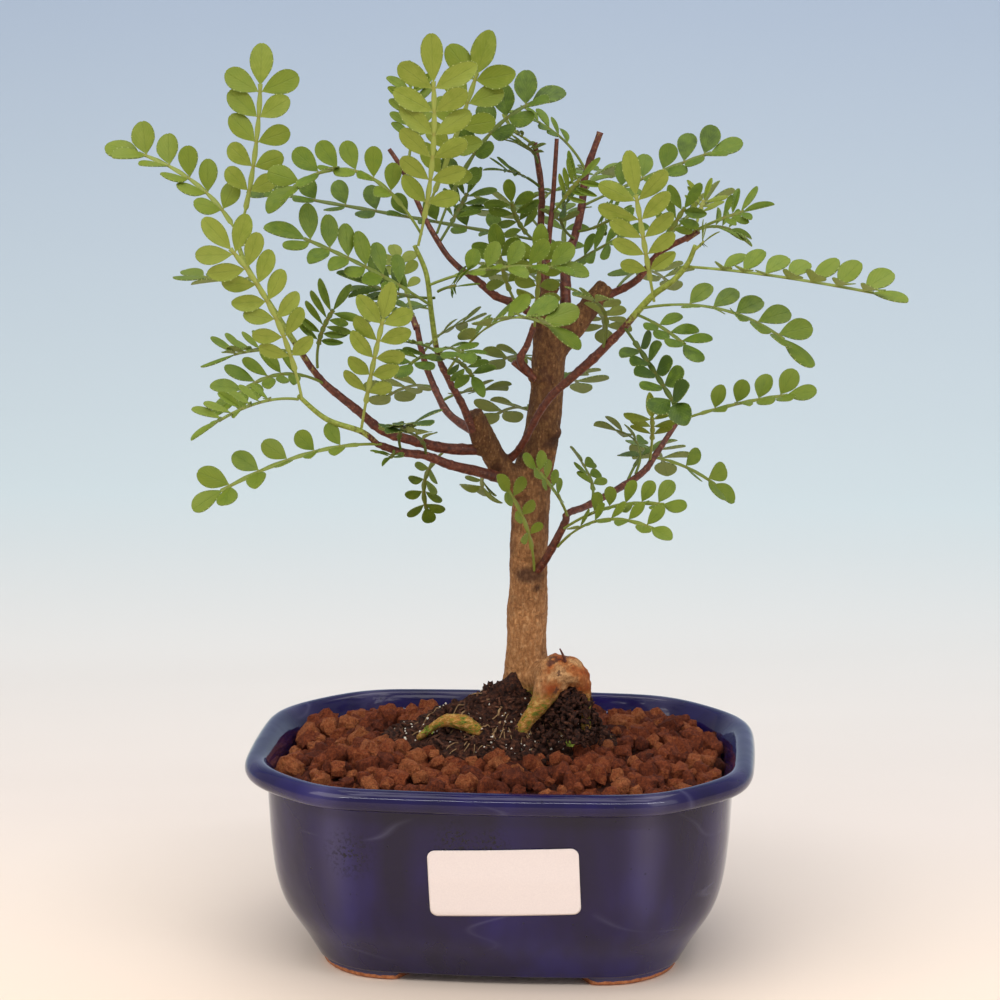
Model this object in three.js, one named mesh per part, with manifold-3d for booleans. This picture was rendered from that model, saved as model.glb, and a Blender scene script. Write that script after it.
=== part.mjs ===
// A chinese pepper bonsai: a small leaning tree with feathery leaves, standing in a
// glazed octagonal pot filled with clay granules, with its peat root ball showing.
// Millimetres. X runs right, Y away from the viewer, Z up from the table.
import * as THREE from "three";
import { mergeVertices } from "three/addons/utils/BufferGeometryUtils.js";
import Module from "manifold-3d";

const wasm = await Module();
wasm.setup();

// Pot
const POT_CENTRE = [1.2, -3.2]; // the tree leans back over it
const POT_WIDTH = 145.6;
const POT_DEPTH = 112.8;
const POT_HEIGHT = 62;
const FRONT_PANEL = 95;
const SIDE_PANEL = 62;
const FRONT_BULGE = 1.3; // beyond the depth at the middle of the front and the back
const SIDE_BULGE = 0.4;
const CORNER_TRIM = 15;
const LIP_RADIUS = 3.2;
const LIP_START = 230; // degrees round the lip's arc, from its underside to its inner face
const LIP_STEP = 57.5;
const FOOT_HEIGHT = 3;
const FOOT_INSET = 21.4;
const FOOT_WALL = 9;
const FOOT_GAP_X = 56;
const FOOT_GAP_Y = 26;

// Paper label on the front wall
const LABEL_WIDTH = 42;
const LABEL_HEIGHT = 19.5;
const LABEL_CENTRE = [5.5, 35];
const LABEL_THICKNESS = 0.6;
const LABEL_CORNER = 0.8; // how far its corners are clipped
const LABEL_BENDS_X = [-5.5, POT_CENTRE[0], 17.5]; // where it bends with the wall
const LABEL_BENDS_Z = [26, 31, 36];

// Soil and root ball
const GAP = 0.35;
const SOIL_EDGE = 57.5;
const SOIL_MIDDLE = 61.5;
const FLOOR = 8;
const SOIL_EDGE_INSET = 9.5;
const GRAINS_ROUND = 40;
const GRAIN_ROWS = 7;
const GRAIN_RELIEF = 2.6;
const GRAIN_WANDER = 0.35; // of the distance between two rows of grains
const ROOT_BALL_CENTRE = [-2, 2];
const ROOT_BALL_HALF = [31, 19];
const ROOT_BALL_RISE = 22.5;
const ROOT_BALL_PEAK = [7, -2]; // how far its top lies from its middle
const ROOT_BALL_SLOPE = 0.68; // 1 is a cone, less is a hollow flank
const ROOT_BALL_RELIEF = 2.4;
const ROOT_BALL_POINTS = 26;
const ROOT_BALL_FOOT_SHARE = 0.75; // its reach on the pot's floor, as a part of that above

// Edges shorter than this are left out where solids have been joined or cut.
const FINEST = 0.05;

// Leaves
const BLADE = 0.7;
const RACHIS_HALF = 0.75;
const LEAFLET_WIDTH = 0.68;
const LEAFLET_LEAN = THREE.MathUtils.degToRad(57);
const LEAFLET_SHARE = 0.5; // of a frond's pairs
const LOWEST_LEAFLET = 0.8; // its length beside the frond's top pair
const BARE_FOOT = 8; // the least bare stretch at a frond's foot
const WIDEST_SPACING = 1.3; // between pairs, in leaflet lengths
const TIP_LEAFLET = 1.1; // its length beside that of the top pair
const LEAFLET_FOOT = 0.2; // half its foot, as a part of the distance between pairs
const LEAFLET_FILL = 0.9; // the most that a leaflet fills of the distance between pairs
const LEAFLET_SPREAD = 0.12; // how far lengths differ
const LAST_PAIR = 0.35; // from the last pair to the top leaflet, in distances between pairs
const MOST_BARE = 0.3; // of a frond's length
const ROOM = 0.08; // how far the space kept clear reaches beyond a leaflet, as a part of it

const paint = (color, roughness) => new THREE.MeshStandardMaterial({ color, roughness, metalness: 0 });
const GLAZE = paint("#1d1b4e", 0.18);
const PAPER = paint("#ebdddd", 0.7);
const CLAY = paint("#7a4320", 0.95);
const PEAT = paint("#2a1b14", 1);
const BARK = paint("#7c5a3c", 0.9);
const LEAF = paint("#6b8e23", 0.55);

// A repeatable number from 0 to 1 for two counters.
function chance(i, j) {
  const wave = Math.sin(i * 12.9898 + j * 78.233) * 43758.5453;
  return wave - Math.floor(wave);
}

const point = ([x, y, z]) => new THREE.Vector3(x, y, z);

// A closed geometry from shared vertices and triangles.
function closedGeometry(vertices, triangles) {
  const geometry = new THREE.BufferGeometry();
  geometry.setAttribute("position", new THREE.Float32BufferAttribute(vertices.flat(), 3));
  geometry.setIndex(triangles.flat());
  return geometry;
}

// Rings of equally many points, joined side by side. The ends are closed with fans, or
// the last ring joins the first when the body is a loop.
function ringSolid(rings, loop = false) {
  const count = rings[0].length;
  const vertices = rings.flat();
  const triangles = [];
  const bands = loop ? rings.length : rings.length - 1;
  for (let i = 0; i < bands; i++) {
    const low = i * count;
    const high = ((i + 1) % rings.length) * count;
    for (let j = 0; j < count; j++) {
      const k = (j + 1) % count;
      triangles.push([low + j, low + k, high + k], [low + j, high + k, high + j]);
    }
  }
  if (!loop) {
    [rings[0], rings.at(-1)].forEach((ring, end) => {
      const centre = vertices.length;
      const start = end ? (rings.length - 1) * count : 0;
      vertices.push([0, 1, 2].map((axis) => ring.reduce((sum, p) => sum + p[axis], 0) / count));
      for (let j = 0; j < count; j++) {
        const k = (j + 1) % count;
        triangles.push(end ? [start + j, start + k, centre] : [start + k, start + j, centre]);
      }
    });
  }
  return closedGeometry(vertices, triangles);
}

function toSolid(geometry) {
  const bare = new THREE.BufferGeometry();
  bare.setAttribute("position", geometry.getAttribute("position"));
  bare.setIndex(geometry.index);
  const merged = mergeVertices(bare, 1e-4);
  return new wasm.Manifold(
    new wasm.Mesh({
      numProp: 3,
      vertProperties: new Float32Array(merged.getAttribute("position").array),
      triVerts: new Uint32Array(merged.index.array),
    }),
  );
}

function toGeometry(solid) {
  const mesh = solid.getMesh();
  const geometry = new THREE.BufferGeometry();
  geometry.setAttribute("position", new THREE.BufferAttribute(mesh.vertProperties, 3));
  geometry.setIndex(new THREE.BufferAttribute(mesh.triVerts, 1));
  return geometry;
}

const unite = (solids) => solids.reduce((sum, solid) => sum.add(solid));

function largest(solid) {
  return solid.decompose().reduce((a, b) => (b.volume() > a.volume() ? b : a)).simplify(FINEST);
}

// The pot's plan: a long octagon whose corners are rounded and whose panels bulge a
// little, moved inwards all round by the inset.
function potPlan(inset) {
  const chamferStart = new THREE.Vector2(FRONT_PANEL / 2, POT_DEPTH / 2);
  const chamferEnd = new THREE.Vector2(POT_WIDTH / 2, SIDE_PANEL / 2);
  const normal = new THREE.Vector2(chamferStart.y - chamferEnd.y, chamferEnd.x - chamferStart.x).normalize();
  const reach = normal.dot(chamferStart) - inset;
  const halfWidth = POT_WIDTH / 2 - inset;
  const halfDepth = POT_DEPTH / 2 - inset;
  const frontX = (reach - normal.y * halfDepth) / normal.x;
  const sideY = (reach - normal.x * halfWidth) / normal.y;
  const corners = [
    [halfWidth, -sideY],
    [halfWidth, sideY],
    [frontX, halfDepth],
    [-frontX, halfDepth],
    [-halfWidth, sideY],
    [-halfWidth, -sideY],
    [-frontX, -halfDepth],
    [frontX, -halfDepth],
  ].map(([x, y]) => new THREE.Vector2(x, y));
  const chamfer = corners[1].distanceTo(corners[2]);
  const trim = Math.min(CORNER_TRIM, 0.4 * chamfer);
  const outline = [];
  corners.forEach((corner, i) => {
    const before = corners[(i + 7) % 8];
    const after = corners[(i + 1) % 8];
    const start = corner.clone().add(before.clone().sub(corner).setLength(trim));
    const end = corner.clone().add(after.clone().sub(corner).setLength(trim));
    const bend = new THREE.QuadraticBezierCurve(start, corner, end);
    outline.push(start, bend.getPoint(0.5), end);
    if (i % 2 === 0) {
      const middle = corner.clone().add(after).multiplyScalar(0.5);
      outline.push(middle.add(middle.clone().setLength(i % 4 === 0 ? SIDE_BULGE : FRONT_BULGE)));
    }
  });
  return outline.map(({ x, y }) => [x + POT_CENTRE[0], y + POT_CENTRE[1]]);
}

const level = (outline, z) => outline.map(([x, y]) => [x, y, z]);

// Inset and height of the outer wall, from the foot up, and of the inner wall, going down.
const OUTER_WALL = [
  [20, FOOT_HEIGHT],
  [18.6, 5.5],
  [16, 10],
  [11, 18],
  [8.4, 26],
  [7.1, 36],
  [6.5, 46],
  [6.3, 51],
  [6.2, 55],
];
const INNER_WALL = [
  [9.4, 57],
  [10.4, 40],
  [14, 22],
  [24, 10],
  [30, FLOOR],
];

function lipArc() {
  const arc = [];
  for (let degrees = LIP_START; degrees >= 0; degrees -= LIP_STEP) {
    const angle = THREE.MathUtils.degToRad(degrees);
    const inset = LIP_RADIUS + LIP_RADIUS * Math.cos(angle);
    arc.push([inset, POT_HEIGHT - LIP_RADIUS + LIP_RADIUS * Math.sin(angle)]);
  }
  return arc;
}

// One foot stands under each chamfered corner; the front, back and sides arch between.
function potFeet() {
  const ring = new THREE.Shape(potPlan(FOOT_INSET).map(([x, y]) => new THREE.Vector2(x, y)));
  ring.holes.push(new THREE.Path(potPlan(FOOT_INSET + FOOT_WALL).map(([x, y]) => new THREE.Vector2(x, y))));
  const feet = toSolid(new THREE.ExtrudeGeometry(ring, { depth: FOOT_HEIGHT + 1, bevelEnabled: false }));
  const tall = 4 * FOOT_HEIGHT;
  const across = toSolid(new THREE.BoxGeometry(FOOT_GAP_X, POT_DEPTH, tall));
  const along = toSolid(new THREE.BoxGeometry(POT_WIDTH, FOOT_GAP_Y, tall));
  return feet.subtract(across.add(along).translate([...POT_CENTRE, 0]));
}

function potGeometry() {
  const profile = [...OUTER_WALL, ...lipArc(), ...INNER_WALL];
  const body = toSolid(ringSolid(profile.map(([inset, z]) => level(potPlan(inset), z))));
  return toGeometry(body.add(potFeet()));
}

// The front wall's Y at a place on it, on the flat facets between the plan's points.
function frontWall(x, z) {
  const above = OUTER_WALL.findIndex(([, height]) => height >= z);
  const [lowInset, lowZ] = OUTER_WALL[above - 1];
  const [highInset, highZ] = OUTER_WALL[above];
  const share = (z - lowZ) / (highZ - lowZ);
  const inset = lowInset + (highInset - lowInset) * share;
  const halfPanel = FRONT_PANEL / 2 - CORNER_TRIM;
  const [middleX, middleY] = POT_CENTRE;
  const bulge = FRONT_BULGE * (1 - Math.abs(x - middleX) / halfPanel);
  return middleY - (POT_DEPTH / 2 - inset) - bulge;
}

// A blank paper label that follows the wall, with clipped corners.
function labelGeometry() {
  const [centreX, centreZ] = LABEL_CENTRE;
  const left = centreX - LABEL_WIDTH / 2;
  const right = centreX + LABEL_WIDTH / 2;
  const columns = [left, ...LABEL_BENDS_X, right];
  const bottom = centreZ - LABEL_HEIGHT / 2;
  const top = centreZ + LABEL_HEIGHT / 2;
  const rows = [bottom, ...LABEL_BENDS_Z, top];
  const faces = [GAP, GAP + LABEL_THICKNESS].map((off) =>
    rows.map((z) =>
      columns.map((x) => {
        const corner = (x === left || x === right) && (z === bottom || z === top);
        const pull = corner ? LABEL_CORNER : 0;
        const atX = x - pull * Math.sign(x - centreX);
        const atZ = z - pull * Math.sign(z - centreZ);
        return [atX, frontWall(atX, atZ) - off, atZ];
      }),
    ),
  );
  const wide = columns.length;
  const tall = rows.length;
  const vertices = faces.flat(2);
  const back = (r, c) => r * wide + c;
  const front = (r, c) => wide * tall + r * wide + c;
  const triangles = [];
  const quad = (a, b, c, d) => triangles.push([a, b, c], [a, c, d]);
  for (let r = 0; r < tall - 1; r++) {
    for (let c = 0; c < wide - 1; c++) {
      quad(front(r, c), front(r, c + 1), front(r + 1, c + 1), front(r + 1, c));
      quad(back(r, c), back(r + 1, c), back(r + 1, c + 1), back(r, c + 1));
    }
    quad(back(r, 0), front(r, 0), front(r + 1, 0), back(r + 1, 0));
    quad(front(r, wide - 1), back(r, wide - 1), back(r + 1, wide - 1), front(r + 1, wide - 1));
  }
  for (let c = 0; c < wide - 1; c++) {
    quad(front(0, c), back(0, c), back(0, c + 1), front(0, c + 1));
    quad(back(tall - 1, c), front(tall - 1, c), front(tall - 1, c + 1), back(tall - 1, c + 1));
  }
  return closedGeometry(vertices, triangles);
}

// Equally spaced places round a closed outline.
function evenly(outline, count) {
  const lengths = outline.map(([x, y], i) => {
    const [nextX, nextY] = outline[(i + 1) % outline.length];
    return Math.hypot(nextX - x, nextY - y);
  });
  const total = lengths.reduce((a, b) => a + b);
  const places = [];
  let edge = 0;
  let passed = 0;
  for (let i = 0; i < count; i++) {
    const wanted = (total * i) / count;
    while (passed + lengths[edge] < wanted) {
      passed += lengths[edge];
      edge += 1;
    }
    const share = (wanted - passed) / lengths[edge];
    const [x, y] = outline[edge];
    const [nextX, nextY] = outline[(edge + 1) % outline.length];
    places.push([x + (nextX - x) * share, y + (nextY - y) * share]);
  }
  return places;
}

// The root ball's outline at the soil's level, a wavering oval, as a reach at an angle.
function rootReach(angle) {
  const [halfX, halfY] = ROOT_BALL_HALF;
  const oval = (halfX * halfY) / Math.hypot(halfY * Math.cos(angle), halfX * Math.sin(angle));
  return oval * (1 + 0.05 * Math.sin(3 * angle + 1) + 0.03 * Math.sin(5 * angle));
}

function rootOutline(angles, share, gap, z) {
  const [x, y] = ROOT_BALL_CENTRE;
  return angles.map((angle) => {
    const reach = rootReach(angle) * share + gap;
    return [x + reach * Math.cos(angle), y + reach * Math.sin(angle), z];
  });
}

// Clay granules fill the pot round the root ball and show as a rough relief.
function soilGeometry() {
  const wall = (inset, z) => level(evenly(potPlan(inset + GAP), GRAINS_ROUND), z);
  const edge = wall(SOIL_EDGE_INSET, SOIL_EDGE);
  const [centreX, centreY] = ROOT_BALL_CENTRE;
  const angles = edge.map(([x, y]) => Math.atan2(y - centreY, x - centreX));
  const inside = rootOutline(angles, 1, GAP, SOIL_MIDDLE);
  const relief = [];
  for (let row = 1; row < GRAIN_ROWS; row++) {
    relief.push(
      edge.map(([x, y, z], i) => {
        const share = (row + GRAIN_WANDER * (chance(i, row) - 0.5)) / GRAIN_ROWS;
        const [toX, toY, toZ] = inside[i];
        const lift = GRAIN_RELIEF * (chance(i + 7, row + 3) - 0.5);
        const height = z + (toZ - z) * Math.sin((share * Math.PI) / 2) + lift;
        return [x + (toX - x) * share, y + (toY - y) * share, height];
      }),
    );
  }
  const deep = FLOOR + GAP;
  const walls = INNER_WALL.slice(1).reverse().map(([inset, z]) => wall(inset, z + GAP));
  return ringSolid(
    [...walls, edge, ...relief, inside, rootOutline(angles, ROOT_BALL_FOOT_SHARE, GAP, deep)],
    true,
  );
}

// The peat root ball: a column down to the pot's floor under a rough mound.
function rootBallSolid() {
  const angles = Array.from({ length: ROOT_BALL_POINTS }, (_, i) => (i * 2 * Math.PI) / ROOT_BALL_POINTS);
  const rings = [
    rootOutline(angles, ROOT_BALL_FOOT_SHARE, 0, FLOOR + GAP),
    rootOutline(angles, 1, 0, SOIL_MIDDLE),
  ];
  const shares = [0.88, 0.72, 0.54, 0.36, 0.2];
  shares.forEach((share, row) => {
    const ring = rootOutline(angles, share, 0, SOIL_MIDDLE);
    const [peakX, peakY] = ROOT_BALL_PEAK;
    rings.push(
      ring.map(([x, y, z], i) => {
        const rise = ROOT_BALL_RISE * (1 - share ** ROOT_BALL_SLOPE);
        const lump = ROOT_BALL_RELIEF * (chance(i, row + 40) - 0.5) * (1 - 0.5 * share);
        return [x + peakX * (1 - share), y + peakY * (1 - share), z + rise + lump];
      }),
    );
  });
  return toSolid(ringSolid(rings));
}

// A tapering limb along hand-placed rows of x, y, z and radius.
function limb(rows, sides, extra = 0, stepsPerRow = 2) {
  const path = new THREE.CatmullRomCurve3(rows.map(point), false, "centripetal");
  const steps = (rows.length - 1) * stepsPerRow;
  const rings = [];
  const side = new THREE.Vector3(1, 0.2, 0.1);
  for (let step = 0; step <= steps; step++) {
    const along = step / steps;
    const place = path.getPoint(along);
    const tangent = path.getTangent(along);
    side.addScaledVector(tangent, -side.dot(tangent)).normalize();
    const across = tangent.clone().cross(side);
    const row = Math.min(Math.floor(along * (rows.length - 1)), rows.length - 2);
    const share = along * (rows.length - 1) - row;
    const radius = rows[row][3] * (1 - share) + rows[row + 1][3] * share + extra;
    const ring = [];
    for (let i = 0; i < sides; i++) {
      const angle = (i * 2 * Math.PI) / sides;
      ring.push(
        place.clone().addScaledVector(side, radius * Math.cos(angle))
          .addScaledVector(across, radius * Math.sin(angle)).toArray(),
      );
    }
    rings.push(ring);
  }
  return toSolid(ringSolid(rings));
}

// Trunk, limbs and woody branches: x, y, z and radius, from the lower end outwards.
const TRUNK = [
  [7, 5, 52, 6.5],
  [7, 5, 70, 7.5],
  [7, 5, 80, 6.3],
  [8, 4, 109, 5.4],
  [9, 5, 138, 5.6],
  [12, 5, 152, 5.1],
  [13, 6, 166, 4.7],
  [14, 6, 179, 4.9],
  [13, 6, 186, 3.4],
];
const LIMBS = [
  [[14, 6, 174, 4], [23, 8, 185, 3.3], [30, 11, 193, 3]],
  [[8, 4, 133, 4], [0, -2, 143, 3.4], [-4, -6, 152, 3.1], [-7, -9, 159, 2.8]],
  [[14, 6, 180, 2.7], [13, 5, 190, 2.4], [15, 5, 194, 2]],
];
const ROOTS = [
  [[8, 4, 76, 4], [12.5, -1, 81, 4.4], [17, -5, 83, 5.3], [21, -6.3, 82.8, 4.6], [24.3, -6.5, 80, 2.4],
    [25.3, -6.3, 75, 1.5], [25.5, -6, 66, 1.2]],
  [[16, -6.5, 82, 5.6], [14.2, -8.5, 78.5, 4], [12.6, -9.5, 75, 2.9], [10.4, -10, 72, 2.4], [7, -11, 67, 1.9],
    [5.5, -10.5, 60, 1.5]],
  [[-23, -8, 63, 1.1], [-18.5, -11, 67.5, 1.2], [-14.6, -12, 69.6, 1.8], [-10, -12.5, 69.4, 2.4],
    [-7, -12.5, 67.9, 2.1], [-4.8, -12, 66, 1.6], [-3, -10, 62, 1.3]],
];
const BRANCHES = [
  [[-3, -5, 148, 1.7], [-14, -10, 149, 1.5], [-22, -16, 152, 1.4], [-31, -22, 156, 1.3], [-38, -27, 163, 1.2],
    [-46, -29, 170, 1], [-50, -30, 175, 0.9]],
  [[3, 0, 138, 1.6], [-4, -14, 143, 1.5], [-12, -24, 147, 1.3], [-18, -32, 151, 1.2], [-24, -38, 153, 1.1],
    [-30, -43, 156, 0.9]],
  [[-6, -8, 151, 1.3], [-9, -13, 161, 1.1], [-12, -17, 168, 1], [-15, -20, 175, 0.9]],
  [[-4, -5, 151, 1.3], [-15, 6, 156, 1.1], [-20, 14, 162, 1], [-24, 18, 171, 0.9], [-26, 20, 180, 0.8]],
  [[12, 4, 184, 1.3], [5, 0, 189, 1.2], [-1, -4, 192, 1.1], [-6, -8, 197, 1], [-10, -10, 200, 0.9]],
  [[10, 4, 167, 1.4], [6, -2, 173, 1.2], [8, -3, 178, 0.9], [10, -3, 184, 0.8]],
  [[18, 7, 180, 1.9], [18, 10, 189, 1.6], [18, 14, 201, 1.4], [20, 18, 206, 1.2], [22, 20, 215, 1.1],
    [23, 22, 224, 1], [27, 24, 236, 0.9]],
  [[13, 6, 188, 1.4], [12, 6, 195, 1.2], [11, 9, 210, 1], [11, 10, 221, 0.9], [9, 10, 234, 0.8]],
  [[1, -2, 143, 1.2], [5, -4, 147, 1.1], [8, -9, 152, 1], [12, -14, 160, 1], [16, -18, 166, 1.1],
    [22, -22, 172, 1.2], [28, -27, 178, 1.3], [36, -36, 187, 1]],
  [[28, 10, 190, 1.3], [33, 9, 192, 1.1], [39, 6, 196, 1], [45, 1, 204, 0.9], [53, -4, 209, 0.8]],
  [[9, 2, 110, 1.5], [13, -2, 115, 1.2], [19, -7, 127, 1.1], [20, -6, 130, 1], [26, 3, 131, 1],
    [39, 24, 135.5, 1], [44, 31, 141, 0.9], [51, 41, 151, 0.7]],
];

function woodSolid(extra) {
  const grown = [limb(TRUNK, 9, extra)];
  LIMBS.forEach((rows) => grown.push(limb(rows, 8, extra, 1)));
  ROOTS.forEach((rows) => grown.push(limb(rows, 6, extra, 1)));
  BRANCHES.forEach((rows) => grown.push(limb(rows, 5, extra, 1)));
  return grown;
}

// Where a leaf's upper side looks.
const VIEWER = [0, -1, 0.35];
const SLANT = [0, -0.7, 0.8];
const SKY = [0, -0.25, 1];
const BACK = [0, 0.6, 0.8];

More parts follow.
